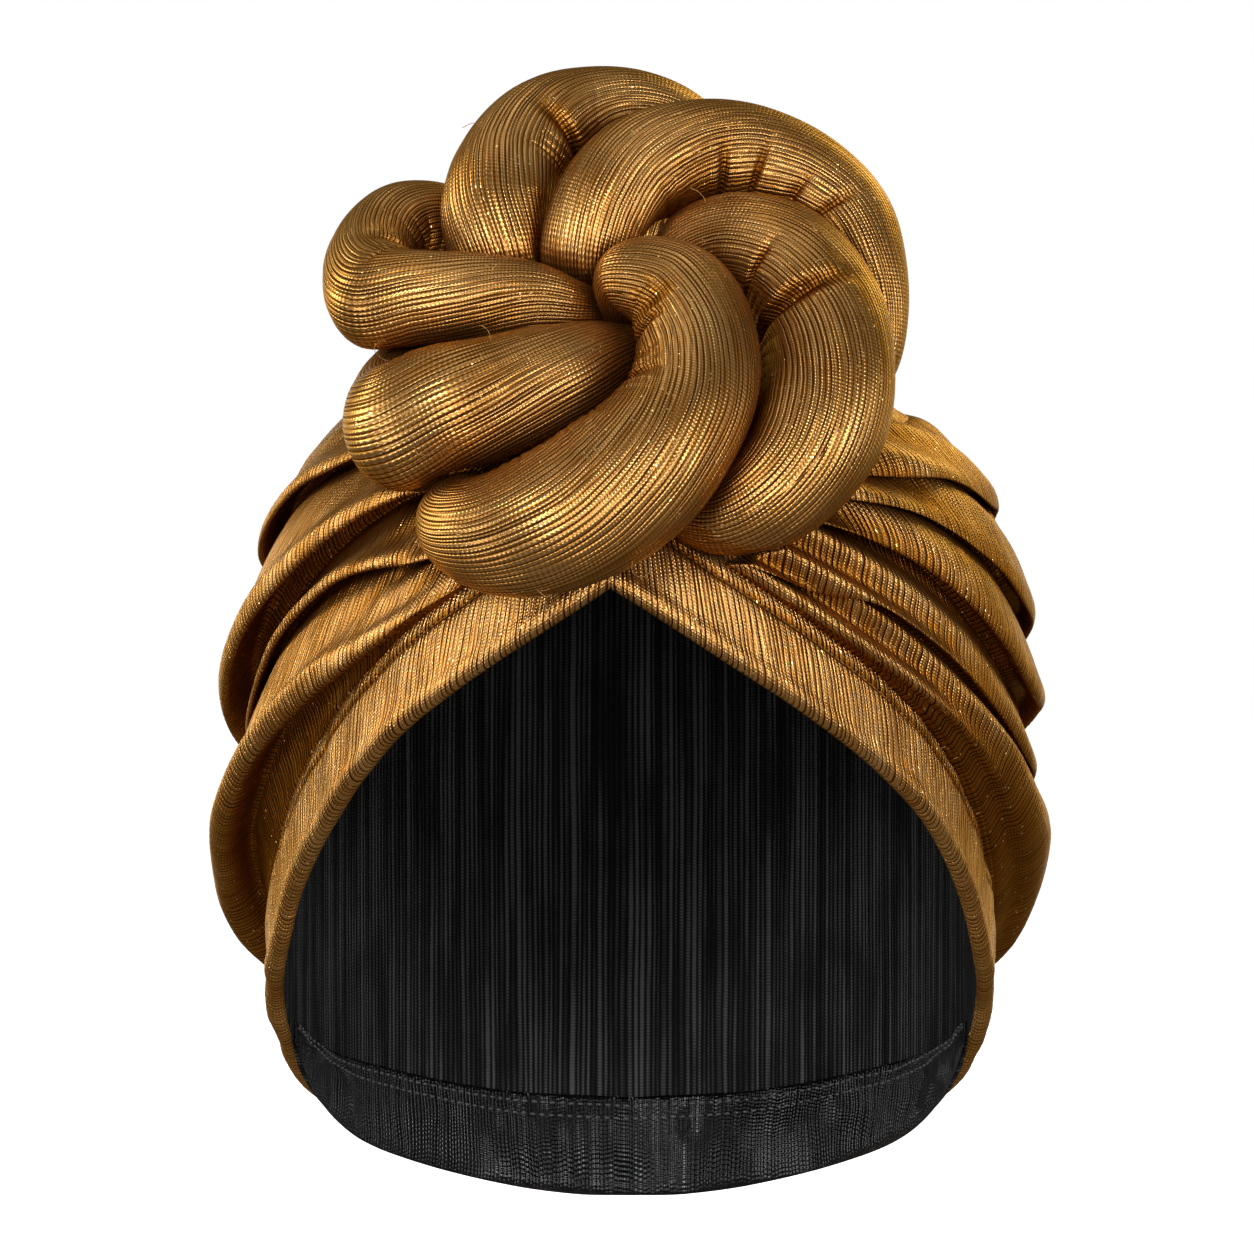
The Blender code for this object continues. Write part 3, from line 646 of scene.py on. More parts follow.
def fold_profile(name, ways, length):
    """Each section's cloth as it rolls over its folds: shares of the way up, heights, and how near
    each point is to a crest. A fold rises steeply from its crease, over a hollow and a round lip, and
    falls away behind."""
    rows = FOLDS[name]
    seed = 300 if name == "drape_left" else 400
    shares, heights, near = [], [], []
    crests, tops = [], []
    for number, (places, high, _) in enumerate(rows):
        table = np.column_stack([FOLD_STATIONS, places, high])
        place, height = along_table(table, ways).T
        waver = CREST_WAVER * ripple(seed + number, ways * 11) * np.minimum(1, ways * 4)
        crests.append(place + waver)
        height = height * (1 + HEIGHT_WAVER * ripple(seed + 20 + number, ways * 12))
        tops.append(height * np.minimum(1, ways / FOLD_STATIONS[1]) ** 2)
    crests.append(np.ones(len(ways)))
    lip = CREST_ROUND / length
    crease, floor = 0 * ways, 0 * ways
    front = np.linspace(0, 1, FOLD_FRONT_ROWS + 1)[None, :-1]
    back = np.linspace(0, 1, FOLD_BACK_ROWS + 1)[None, :-1]
    for number, (_, _, full) in enumerate(rows):
        edge = ROLLED_EDGE[name] * np.minimum(1, tops[number] / 6)
        crest, top = crests[number], np.maximum(tops[number] - 0.6 * edge, 0)
        # The next fold's crest hangs over the crease between the two
        last = number == len(rows) - 1
        width = crests[number + 1] - crest
        following = 0 * ways if last else tops[number + 1]
        next_crease = crests[number + 1] if last else crest + width * (1 + OVERHANG[name])
        next_floor = 0 * ways if last else CREASE_HEIGHT[name] * np.minimum(top, following)
        # The front of the fold, from its crease up to its crest; the lowest one starts at the band
        if number == 0:
            beyond = smooth(np.clip((ways - FRONT_STARTS) / (FRONT_FULL - FRONT_STARTS), 0, 1))
            round_front = 0.9 + (FIRST_FRONT[name] - 0.9) * beyond
            turn_in = crest * (0.95 - 0.8 * round_front)
            turn_up = top * (0.1 + 0.5 * round_front)
            tip = crest - lip - 0.45 * round_front * crest
        else:
            turn_in, turn_up = crease + 0.2 * (crease - crest), floor + 0.5 * (top - floor)
            tip = crest - lip
        tall = np.minimum(1, tops[number] / TALL_FOLD) ** 2 / length
        under_lip = LIP_HOLLOW[name] * (UPPER_HOLLOW if number else 1) * hump(front, HOLLOW_PLACE)
        back_by = under_lip - LIP_BULGE[name] * hump(front, LIP_PLACE)
        shares.append(curve((crease, turn_in, tip, crest), front) + tall[:, None] * back_by)
        heights.append(curve((floor, turn_up, top, top), front) + edge[:, None] * smooth(front))
        near.append(np.broadcast_to(front**1.5, shares[-1].shape))
        # Its back, from the crest with its rolled edge down to the next crease
        span = next_crease - crest
        out = crest + (0.2 + 0.3 * full) * span
        down = next_crease - (0.2 - 0.25 * full) * span
        under = next_floor + (0.1 + 0.55 * full) * (top - next_floor)
        shares.append(curve((crest, out, down, next_crease), back))
        behind = (shares[-1] - crest[:, None]) * length[:, None] / ROLLED_WIDTH
        rolled = edge[:, None] * np.exp(-(behind**2))
        heights.append(curve((top, top, under, next_floor), back) + rolled * (1 - back**3))
        near.append(np.broadcast_to((1 - back**2.2), shares[-1].shape))
        crease, floor = next_crease, next_floor
    ends = np.ones((len(ways), 1))
    return (
        np.concatenate([*shares, ends], axis=1),
        np.concatenate([*heights, 0 * ends], axis=1),
        np.concatenate([*near, 0 * ends], axis=1),
    )


def under_rolls(directions, raised):
    """Fold heights pressed down so that the cloth passes under the knot."""
    reach_out = DRAPE_LIFT + raised
    crossed = off_rolls(lean(on_form(directions, reach_out)), ROLLS) < 1 + FOLD_CLEARANCE
    ways, high = directions[crossed], raised[crossed]
    low = np.zeros(len(high))
    for _ in range(PRESS_STEPS):
        middle = (low + high) / 2
        clear = off_rolls(lean(on_form(ways, DRAPE_LIFT + middle)), ROLLS) > 1 + FOLD_CLEARANCE
        low = np.where(clear, middle, low)
        high = np.where(clear, high, middle)
    pressed = raised.copy()
    pressed[crossed] = low
    return pressed


def drape(name, side):
    """The cloth of one side: gathered under the knot, in deep folds with pleats across them."""
    seed = 500 if side > 0 else 600
    ways = np.linspace(0, 1, DRAPE_COLUMNS + 1)
    rim, crown, length = fold_sections(side, ways)
    start = ((BAND_WIDTH + DRAPE_START) / length)[:, None]
    shares, raised, near_crest = fold_profile(name, ways, length)
    shares = np.clip(shares, 0, 1)
    placed = start + shares * (1 - start)
    # Soft ridges fan out from under the knot, run along the folds and fade towards the side
    column = ways[:, None]
    count, run = RIDGES[name]
    fade = np.clip(1.35 - column / run, 0, 1)
    lay = shares * count + 1.2 * column + 0.45 * crumple(seed, column * 3, shares * 4)
    ridge = (0.5 - 0.5 * np.cos(2 * math.pi * lay)) * (0.75 + 0.35 * crumple(seed + 1, column * 5, lay))
    wrinkles = crumple(seed + 2, column * 5, shares * 22)
    raised = raised + RIDGE_HEIGHT[name] * fade**1.5 * ridge + UNEVEN * np.maximum(wrinkles, -0.3)
    directions = between(rim, crown, placed)
    raised = under_rolls(directions, raised)
    points = lean(off_middle(side, on_form(directions, DRAPE_LIFT + raised)))
    # The pleats follow the sections, closer together towards the crown
    along = lengths(on_form(directions), 0)
    along = 0.5 * (along - along[DRAPE_COLUMNS // 2]) + 0.5 * lengths(on_form(rim), 0)[:, None]
    across = lengths(points, 1)
    sway = crumple(seed + 3, along / 16, across / 24)
    coarse = ribs(along / PLEAT + 0.7 * sway, 0.8)
    uneven = 0.5 + 0.5 * crumple(seed + 4, along / PLEAT, across / 16)
    puff = crumple(seed + 5, along / 12, across / 14)
    relief = PLEAT_PUFF * puff - PLEAT_DEPTH * (1 - coarse) * uneven
    normals = surface_normals(points) * side
    turned = np.sum(normals * outward(lean(points, -1)), axis=-1).mean()
    points = points + normals * np.sign(turned) * relief[..., None]
    # The cloth turns in under the band, at the crown's middle and at the back
    tuck = np.zeros(points.shape[:2])
    tuck[:, 0] = tuck[:, -1] = tuck[-1, :] = 1
    points -= outward(lean(points, -1)) * (SEAM_TUCK * tuck)[..., None]
    laid = np.stack([along + LAY_START, across], -1)
    # Painted shade: darker away from the crests, towards the creases, and in the valleys between the
    # ridges
    hollow = np.clip(1 - near_crest, 0, 1) ** 1.3 + 0.6 * fade * (1 - ridge) ** 2
    return cloth_grid(f"pleated_{name}", points, laid, np.clip(hollow, 0, 1))


# Hem bands
BAND_COLUMNS = 620
BAND_STATIONS = 44
BAND_PLEAT = 3.2
BAND_SEAM = 16.2  # from the rim to the row of stitches
SEAM_WIDTH = 0.9
BAND_STITCH = (1.75, 1.15, 0.19)  # from one stitch to the next, a stitch's length and its radius
BAND_PUCKER = 0.4
BAND_PLEAT_DEPTH = 0.14
BAND_MIDDLE_GAP = 0.05
RIM_WAVER = 0.2
OUTER_FACE = 0.8  # share of the section that lies on the band's outer face
# How far the band's edge draws back at the nape, where the black hem hangs below it, from which
# azimuth on, and over how many degrees
NAPE_TUCK = 3.4
NAPE_TUCK_START = 96
NAPE_TUCK_RUN = 20
# The band's section: share of the way round it, distance in from the rim, height over the head form
BAND_SECTION = (
    (0.00, 1.9, 0.9),
    (0.05, 0.2, 0.1),
    (0.09, -0.9, 0.4),
    (0.14, -1.5, 1.8),
    (0.19, -1.1, 3.3),
    (0.24, 0.3, 4.3),
    (0.30, 2.2, 4.5),
    (0.36, 4.2, 4.1),
    (0.50, 9.0, 4.2),
    (0.62, 13.2, 4.3),
    (0.68, 15.4, 4.0),
    (0.71, 16.2, 3.2),
    (0.74, 17.2, 3.8),
    (0.78, 19.4, 3.4),
    (0.83, 22.4, 2.6),
    (0.86, 22.6, 2.0),
    (0.90, 20.0, 1.7),
    (0.97, 5.0, 1.6),
    (1.00, 1.9, 0.9),
)


def hem_band(name, side):
    """The turned band along the face opening, with a rolled edge and fine pleats across it."""
    seed = 700 if side > 0 else 760
    ways = np.linspace(0, 1, BAND_COLUMNS + 1)
    rim, crown, length = fold_sections(side, ways)
    section = along_table(BAND_SECTION, np.linspace(0, 1, BAND_STATIONS + 1))
    across, height = section[None, :, 0], section[None, :, 1]
    middle = on_form(rim)
    along = lengths(middle, 0)[:, None]
    sway = crumple(seed, along / 11, across / 6)
    pleat = ribs(along / BAND_PLEAT + 0.9 * sway, 0.7)
    uneven = 0.5 + 0.5 * crumple(seed + 1, along / BAND_PLEAT, across / 9)
    outer = np.clip((height - 2.2) / 1.2, 0, 1)
    puckers = crumple(seed + 2, along / 7, across / 9)
    pleated = BAND_PLEAT_DEPTH * (1 - pleat) * (0.3 + uneven)
    raised = height + outer * (BAND_PUCKER * puckers - pleated)
    wavy = across + RIM_WAVER * ripple(seed + 3, along / 9) * hump(across, (0, 5))
    tucked = np.clip((180 * ways - NAPE_TUCK_START) / NAPE_TUCK_RUN, 0, 1)[:, None]
    wavy = wavy + NAPE_TUCK * tucked * np.clip(1 - across / BAND_SEAM, 0, 1)
    directions = between(rim, crown, wavy / length[:, None])
    points = lean(off_middle(side, on_form(directions, raised), BAND_MIDDLE_GAP))
    outside = np.arange(BAND_STATIONS + 1) < BAND_STATIONS * OUTER_FACE
    station = np.argmin(np.where(outside, np.abs(across[0] - BAND_SEAM), np.inf))
    stitched = stitches(f"{name}_stitches", points[:, station], *BAND_STITCH)
    laid = np.stack(np.broadcast_arrays(along, lengths(section, 0)[None]), -1)
    # Painted shade along the seam's groove on the band's outer face
    seam = hump(across, (BAND_SEAM, SEAM_WIDTH)) * outer
    seam = np.broadcast_to(seam, raised.shape)
    band = cloth_grid(f"pleated_{name}", points, laid, np.clip(seam, 0, 1), closed=True)
    return band, stitched


# Lining
CAP_COLUMNS = 200
CAP_ROWS = 90
CAP_SLACK = 0.7  # how far the jersey hangs off the head form, and how deep its upright folds are
CAP_FOLD = 0.35
CAP_LAY_START = 300.0  # keeps the ribs' measure above nought


def lining_cap():
    """The ribbed jersey cap inside, slack against the head form."""
    around = np.linspace(0, 1, CAP_COLUMNS + 1)
    shares = np.linspace(0, 1, CAP_ROWS + 1)
    azimuth = 360 * around
    height = along_table(RIM, np.minimum(azimuth, 360 - azimuth))[:, 0]
    rim = at_azimuth(azimuth, height)
    top = np.broadcast_to(np.array([0.0, 0.0, 1.0]), rim.shape)
    directions = between(rim, top, np.broadcast_to(shares[None] * 0.999, (len(around), len(shares))))
    slack = 0.5 + 0.5 * crumple(820, around[:, None] * 16, shares[None] * 7, wrap=256)
    folded = crumple(821, around[:, None] * 48, shares[None] * 5)
    free = np.sin(math.pi * shares[None] ** 0.7) ** 0.5
    points = on_form(directions, -(CAP_SLACK * slack + CAP_FOLD * np.maximum(folded, 0)) * free)
    points = lean(points)
    points[-1] = points[0]
    level = points[..., 2]
    breadth = np.hypot(points[..., 0], points[..., 1] * HALF_WIDTH / HALF_LENGTH)
    turn = np.arctan2(points[..., 0], points[..., 1])
    laid = np.stack([turn * breadth + CAP_LAY_START, level + CAP_LAY_START], -1)
    flat = np.zeros(points.shape[:2])
    return cloth_grid("lining_cap", points, laid, flat)


HEM_COLUMNS = 420
HEM_STATIONS = 26
HEM_HANG = 2.0  # how far its soft edge hangs below the band
HEM_ENDS = 9  # degrees over which it comes out of the band at each end
HEM_WIDTH = 16.0
HEM_PUFFS = (1.0, 0.4)  # how deep its broad and its narrow puffs are
HEM_STITCH_ROWS = (0.80, 0.93)  # shares of the way up
HEM_STITCH = (2.3, 1.7, 0.32)
HEM_SEAM = (0.9, 0.05)
# The hem's section: share of the way round it, share of the way up, depth inside the head form
HEM_SECTION = (
    (0.00, 0.02, 0.3),
    (0.07, -0.05, 0.9),
    (0.14, 0.03, 1.9),
    (0.22, 0.12, 2.3),
    (0.55, 0.80, 2.0),
    (0.60, 0.90, 1.7),
    (0.64, 0.97, 1.9),
    (0.68, 1.03, 1.3),
    (0.72, 1.00, 0.6),
    (1.00, 0.02, 0.3),
)


def nape_hem():
    """The black hem folded up inside the nape, with a soft edge below and a sewn edge above."""
    around = np.linspace(0, 1, HEM_COLUMNS + 1)
    azimuth = NAPE_HEM_START + (360 - 2 * NAPE_HEM_START) * around
    from_front = np.minimum(azimuth, 360 - azimuth)
    low = along_table(RIM, from_front)[:, 0]
    high = np.maximum(along_table(NAPE_HEM_TOP, from_front)[:, 0], low + 1.0)
    section = along_table(HEM_SECTION, np.linspace(0, 1, HEM_STATIONS + 1))
    up, depth = section[None, :, 0], section[None, :, 1]
    height = low[:, None] + (high - low)[:, None] * up
    ends = np.clip((from_front - NAPE_HEM_START) / HEM_ENDS, 0, 1)[:, None] ** 0.5
    height = height - HEM_HANG * ends * np.clip(1 - up * 3, 0, 1)
    along = lengths(on_form(at_azimuth(azimuth, low)), 0)[:, None]
    broad, narrow = crumple(840, along / 13, up * 2), crumple(841, along / 4.2, up * 3)
    puff = broad * HEM_PUFFS[0] + narrow * HEM_PUFFS[1]
    inner = np.clip((depth - 0.9) / 0.8, 0, 1)
    deep = HEM_GAP + (depth * 0.75 + inner * puff) * ends
    directions = at_azimuth(np.broadcast_to(azimuth[:, None], height.shape), height)
    points = on_form(directions, -deep)
    rows = []
    for number, share in enumerate(HEM_STITCH_ROWS):
        station = np.argmin(np.where(inner[0] > 0.9, np.abs(up[0] - share), np.inf))
        rows.append(stitches(f"hem_stitch_row_{number + 1}", points[:, station], *HEM_STITCH))
    laid = np.stack(np.broadcast_arrays(along, lengths(section * [HEM_WIDTH, 1], 0)[None]), -1)
    seam = np.broadcast_to(hump(up, HEM_SEAM) * inner, height.shape)
    return cloth_grid("folded_nape_hem", points, laid, seam, closed=True), *rows


# Loose threads: where each starts, x and z as the front view shows them, its length, how far it curls
# and the way it sets off, degrees from +X
LOOSE_THREADS = (
    (1.0, -45.0, 9.0, 4.0, 250),
    (-19.5, -51.5, 14.0, 6.5, 300),
    (-17.0, -52.5, 7.0, 2.0, 200),
    (-54.0, 3.5, 8.0, 3.0, 170),
    (-54.5, 1.0, 11.0, 5.0, 240),
    (16.0, 36.5, 5.0, 2.5, 60),
    (-16.0, 11.5, 6.0, 3.5, 120),
    (-30.0, 4.5, 5.0, 1.5, 80),
    (-47.5, -20.0, 6.0, 2.0, 260),
    (30.0, 52.5, 5.0, 2.0, 70),
    (45.0, 40.0, 5.0, 3.0, 20),
    (-33.5, 54.0, 5.0, 2.0, 130),
    (27.0, -33.0, 6.0, 2.5, 310),
    (52.0, -6.0, 5.0, 2.0, 0),
)
THREAD_RADIUS = 0.075
THREAD_POINTS = 9
THREAD_LIFT = 0.9  # how far its middle stands off the cloth
THREAD_KINKS = 0.35  # the most that it turns from one point to the next, radians


def loose_threads(pieces):
    """Ends and loops of film thread that have worked loose, each from the cloth's front surface."""
    surface = np.concatenate([vertex_places(piece.data) / MM for piece in pieces])
    curve_data = bpy.data.curves.new("loose_threads", "CURVE")
    curve_data.dimensions = "3D"
    curve_data.bevel_depth = THREAD_RADIUS * MM
    curve_data.bevel_resolution = 1
    curve_data.resolution_u = 4
    for number, (x, z, length, curl, heading) in enumerate(LOOSE_THREADS):
        random = np.random.default_rng(900 + number)
        off = np.hypot(surface[:, 0] - x, surface[:, 2] - z)
        near = surface[off < max(1.2, off.min() + 0.4)]
        place = near[np.argmin(near[:, 1])]
        way = math.radians(heading)
        line = curve_data.splines.new("NURBS")
        line.points.add(THREAD_POINTS - 1)
        step = length / (THREAD_POINTS - 1)
        for share, point in zip(np.linspace(0, 1, THREAD_POINTS), line.points):
            lift = THREAD_LIFT * math.sin(math.pi * min(share * 1.2, 1)) + 0.1
            point.co = (*(place + [0, -lift, 0]) * MM, 1.0)
            way += curl / (THREAD_POINTS - 1) + random.uniform(-THREAD_KINKS, THREAD_KINKS)
            place = place + step * np.array([math.cos(way), 0, math.sin(way)])
        line.use_endpoint_u = True
    return in_scene("loose_threads", curve_data)


# Finishes


# A wave texture's scale that gives one band in each unit of length
WAVES_PER_UNIT = 0.314


def linear(code):
    """A hex sRGB colour as the linear values that a shader reads."""
    values = [int(code[i : i + 2], 16) / 255 for i in (0, 2, 4)]
    values = [v / 12.92 if v <= 0.04045 else ((v + 0.055) / 1.055) ** 2.4 for v in values]
    return (*values, 1.0)


def feed(tree, made, inputs):
    """Gives a node its inputs: a socket is linked and a plain value is set."""
    for key, value in inputs.items():
        if isinstance(value, bpy.types.NodeSocket):
            tree.links.new(value, made.inputs[key])
        else:
            made.inputs[key].default_value = value


def node(tree, kind, inputs=(), gives=0, **settings):
    """Adds a node and gives one of its outputs."""
    made = tree.nodes.new("ShaderNode" + kind)
    for key, value in settings.items():
        setattr(made, key, value)
    feed(tree, made, dict(inputs))
    return made.outputs[gives]


def calc(tree, operation, *values):
    """A sum, product or test of sockets and numbers."""
    return node(tree, "Math", dict(enumerate(values)), operation=operation)


def weighted(tree, start, *parts):
    """A number plus some values, each times its weight."""
    for part, weight in parts:
        start = calc(tree, "MULTIPLY_ADD", part, weight, start)
    return start


def ranged(tree, value, start, end, least=0.0, most=1.0, kind="LINEAR"):
    """How far a value is from start to end, as a number from least to most."""
    sizes = {"Value": value, "From Min": start, "From Max": end, "To Min": least, "To Max": most}
    return node(tree, "MapRange", sizes, interpolation_type=kind)


def ramp(tree, share, stops):
    """A colour ramp over a share, from its stops' positions and colours."""
    colour = node(tree, "ValToRGB", {"Fac": share})
    points = colour.node.color_ramp.elements
    for number, (position, code) in enumerate(stops):
        point = points[number] if number < len(points) else points.new(position)
        point.position, point.color = position, linear(code)
    return colour


def cloud(tree, grid, across, along, detail=2.0, rough=0.5):
    """Cloud noise in patches of this size, in mm across and along the pleats or ribs."""
    sized = node(tree, "Mapping", {"Vector": grid, "Scale": (1 / across, 1 / along, 1)})
    values = {"Vector": sized, "Scale": 1.0, "Detail": detail, "Roughness": rough}
    return node(tree, "TexNoise", values, noise_dimensions="2D")


def waves(tree, place, pitch, direction, **more):
    """Bands from 0 to 1 and back, this far apart in the place's own units."""
    values = {"Vector": place, "Scale": WAVES_PER_UNIT / pitch, **more}
    return node(tree, "TexWave", values, "Fac", bands_direction=direction)


def bump(tree, height, strength, deep):
    """The normal over a relief that is so many mm deep."""
    return node(tree, "Bump", {"Height": height, "Strength": strength, "Distance": deep * MM})


def cloth_measures(tree):
    """The place on the cloth in mm across and along its pleats or ribs."""
    cloth = node(tree, "UVMap", uv_map="cloth")
    return node(tree, "Mapping", {"Vector": cloth, "Scale": (1000, 1000, 1)})


def new_finish(name):
    """A new material, its node tree and its shader."""
    material = bpy.data.materials.new(name)
    material.use_nodes = True
    return material, material.node_tree, material.node_tree.nodes["Principled BSDF"]


def crinkled_lame(name, colours, pleat, roughness, relief):
    """Lamé: gold film thread woven over brown, heat set in fine crinkle pleats. The film gives broken,
    glittering highlights along the pleats, with painted glints among them, and the brown ground shows
    in their grooves under painted shade."""
    material, tree, shader = new_finish(name)
    grid = cloth_measures(tree)
    # Painted shade in hollows, creases and where parts press together, as the mesh gives it
    painted_shade = node(tree, "Attribute", gives="Fac", attribute_name="painted_shade")
    # The pleats sway by about half a pleat every 40 mm and are deeper in places
    sway = cloud(tree, grid, 14, 40)
    depth = cloud(tree, grid, 2.2, 16)
    # Streaks of film thread catch the light one by one; wear and uneven dye come in broad patches
    streak = cloud(tree, grid, 0.5, 9, rough=0.6)
    patches = cloud(tree, grid, 14, 20, detail=3.0)
    # Pleats: rounded ribs of uneven pitch with narrow grooves between them
    across = node(tree, "SeparateXYZ", {0: grid}, "X")
    place = calc(tree, "MULTIPLY_ADD", sway, 2.2, calc(tree, "MULTIPLY", across, 1 / pleat))
    cells = {"W": place, "Scale": 1.0, "Randomness": 0.85}
    edge = node(tree, "TexVoronoi", cells, voronoi_dimensions="1D", feature="DISTANCE_TO_EDGE")
    rib = ranged(tree, edge, 0.0, 0.45, kind="SMOOTHERSTEP")
    groove = ranged(tree, edge, 0.03, 0.2, least=1.0, most=0.0, kind="SMOOTHSTEP")
    groove = calc(tree, "MULTIPLY", groove, ranged(tree, depth, 0.36, 0.56, least=0.35))
    # The weave is 0.38 mm; drawn at 0.6 to 0.7 mm so that it shows
    weft = waves(tree, grid, 0.72, "Y", Distortion=0.7, Detail=1.0)
    warp = waves(tree, grid, 0.62, "X", Distortion=0.7, Detail=1.0)
    weave = calc(tree, "MULTIPLY", weft, warp)
    # Painted glints of loose film, pale in colour and smoother, 0.5 mm across, in one cell of 1.1 mm in
    # twenty
    cells = {"Vector": grid, "Scale": 0.9, "Randomness": 1.0}
    own = node(tree, "TexVoronoi", cells, "Color", voronoi_dimensions="2D")
    picked = calc(tree, "GREATER_THAN", node(tree, "SeparateColor", {0: own}), 0.95)
    off = node(tree, "TexVoronoi", cells, "Distance", voronoi_dimensions="2D")
    glint = calc(tree, "MULTIPLY", picked, calc(tree, "LESS_THAN", off, 0.22))
    # The colour: painted shade in the grooves and hollows, lighter streaks, patches and weave, and
    # painted glints
    tones = (groove, -0.8 * relief), (streak, 0.16), (patches, 0.24), (weave, 0.26), (painted_shade, -0.3)
    roughs = (streak, -0.3), (painted_shade, 0.15), (groove, 0.25), (weave, -0.1), (glint, -0.2)
    height = weighted(tree, 0.0, (rib, 0.5), (groove, -0.7), (streak, 0.14), (weave, 0.34))
    finish = {
        "Base Color": ramp(tree, weighted(tree, 0.5, *tones, (glint, 0.8)), colours),
        "Roughness": weighted(tree, roughness + 0.15, *roughs),
        "Normal": bump(tree, height, relief, 0.3),
        "Metallic": 0.93,
        "Specular Tint": linear("F4D49C"),
    }
    feed(tree, shader, finish)
    return material


def ribbed_jersey(name, dark, light, rib_mm, roughness, shine):
    """Black knitted jersey: each rib is a column of small stitches, matt, with painted light on its
    crest.
    """
    material, tree, shader = new_finish(name)
    grid = cloth_measures(tree)
    across = node(tree, "SeparateXYZ", {0: grid}, "X")
    along = node(tree, "SeparateXYZ", {0: grid}, "Y")
    # The ribs sway a little, groups of ribs get painted light as if they lay higher, and the cloth is
    # worn in patches
    sway = cloud(tree, grid, 12, 80)
    groups = cloud(tree, grid, 2.4, 60)
    wear = cloud(tree, grid, 9, 14)
    place = calc(tree, "MULTIPLY_ADD", across, 1 / rib_mm, sway)
    cells = {"W": place, "Scale": 1.0, "Randomness": 0.8}
    edge = node(tree, "TexVoronoi", cells, voronoi_dimensions="1D", feature="DISTANCE_TO_EDGE")
    rib = ranged(tree, edge, 0.08, 0.4, kind="SMOOTHSTEP")
    # Stitches are 0.46 mm high, drawn at 0.75 mm so that they show, and each rib starts elsewhere
    own = node(tree, "TexVoronoi", cells, "Color", voronoi_dimensions="1D")
    own = node(tree, "SeparateColor", {0: own})
    shifted = calc(tree, "MULTIPLY_ADD", own, 5.0, along)
    shifted = node(tree, "CombineXYZ", {"X": across, "Y": shifted})
    stitch = waves(tree, shifted, 0.75, "Y", Distortion=1.5)
    # Painted light on the rib crests, the stitches and some groups of ribs, times the real wear and
    # each rib's own tone
    painted_light_and_wear = ranged(tree, groups, 0.36, 0.66, least=0.22)
    for value, least in ((rib, 0.05), (stitch, 0.7), (wear, 0.3), (own, 0.35)):
        painted_light_and_wear = calc(tree, "MULTIPLY", painted_light_and_wear, calc(tree, "ADD", value, least))
    height = calc(tree, "MULTIPLY_ADD", stitch, 0.3, rib)
    finish = {
        "Base Color": ramp(tree, painted_light_and_wear, ((0.03, dark), (0.75, light))),
        "Roughness": calc(tree, "MULTIPLY_ADD", painted_light_and_wear, -0.3, roughness),
        "Normal": bump(tree, height, 0.9, 0.35),
        "Specular IOR Level": shine,
    }
    feed(tree, shader, finish)
    return material


def sewing_thread(name, stops, roughness):
    """Spun polyester thread: a low sheen, with the twist showing as fine slanting bands."""
    material, tree, shader = new_finish(name)
    place = node(tree, "TexCoord", gives="Object")
    twist = waves(tree, place, 0.35 * MM, "DIAGONAL", Distortion=1.0)
    finish = {
        "Base Color": ramp(tree, twist, stops),
        "Roughness": roughness,
        "Normal": bump(tree, twist, 0.5, 0.05),
    }
    feed(tree, shader, finish)
    return material


# Lamé from its brown ground, in the grooves under painted shade, to bare gold film on the crests and in
# painted glints
GOLD = ((0.05, "1F0D02"), (0.3, "5E3208"), (0.6, "965C14"), (1.0, "E9BE7E"))
KNOT_GOLD = ((0.05, "1F0D02"), (0.3, "582E07"), (0.6, "8B540F"), (1.0, "E4B876"))

# Drapes and bands: loose lamé, its pleats 1.4 mm apart
gold_cloth = crinkled_lame("gold_lame_drape", GOLD, pleat=1.4, roughness=0.32, relief=0.82)
# The knot: the same cloth, with flatter pleats as it is stretched over padding
knot_cloth = crinkled_lame("gold_lame_knot", KNOT_GOLD, pleat=1.0, roughness=0.35, relief=0.64)
# The cap: matt ribbed jersey
lining_jersey = ribbed_jersey(
    "black_rib_jersey", "0B0B0B", "484848", rib_mm=1.15, roughness=0.75, shine=0.12
)
# The nape hem: the jersey's smooth side, which has a sheen
hem_jersey = ribbed_jersey(
    "black_hem_jersey", "030304", "1C1D1F", rib_mm=1.0, roughness=0.27, shine=0.36
)
# The bands' stitches and the loose film threads, and the hem's stitches
gold_thread = sewing_thread("gold_sewing_thread", ((0.0, "6A4218"), (1.0, "C08A48")), 0.5)
black_thread = sewing_thread("black_sewing_thread", ((0.0, "222223"), (1.0, "6A6A6C")), 0.4)


# The hat


def finished(piece, node_name, finish):
    """Gives a piece its material, hangs it on the root body and hides the model's part for the node it
    stands for, if any.
    """
    piece.data.materials.append(finish)
    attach(piece, "root")
    if node_name:
        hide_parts(node_name)


def dress_hat():
    gold = []
    for name in ROLLS:
        piece = knot_roll(name)
        gold.append(piece)
        finished(piece, name, knot_cloth)
    for word, side in (("left", 1), ("right", -1)):
        cloth = drape(f"drape_{word}", side)
        facing_out(cloth)
        finished(cloth, f"drape_{word}", gold_cloth)
        band, seam = hem_band(f"hem_band_{word}", side)
        finished(seam, None, gold_thread)
        gold += [cloth, band]
        finished(band, f"hem_band_{word}", gold_cloth)
    finished(loose_threads(gold), None, gold_thread)
    cap = lining_cap()
    facing_out(cap)
    wall = cap.modifiers.new("cloth_wall", "SOLIDIFY")
    wall.thickness = CAP_WALL * MM
    wall.offset = 1.0
    finished(cap, "inner_cap", lining_jersey)
    hem, *rows = nape_hem()
    for row in rows:
        finished(row, None, black_thread)
    finished(hem, "nape_hem", hem_jersey)


dress_hat()

# Camera, floor and light
VIEW_DISTANCE = 1.8
VIEW_HEIGHT = -0.0584
VIEW_SIDE = -0.0007
SENSOR = 36.0
VIEW_WIDTH = 0.23 * MM * 1254  # what the photograph's width covers at the head's middle
# The studio's walls from straight down to straight up, with a white band behind the hat
SKY = (
    (0.0, "7C7671"),
    (0.43, "7C7671"),
    (0.45, "FFFFFF"),
    (0.575, "FFFFFF"),
    (0.61, "666462"),
    (1.0, "747270"),
)
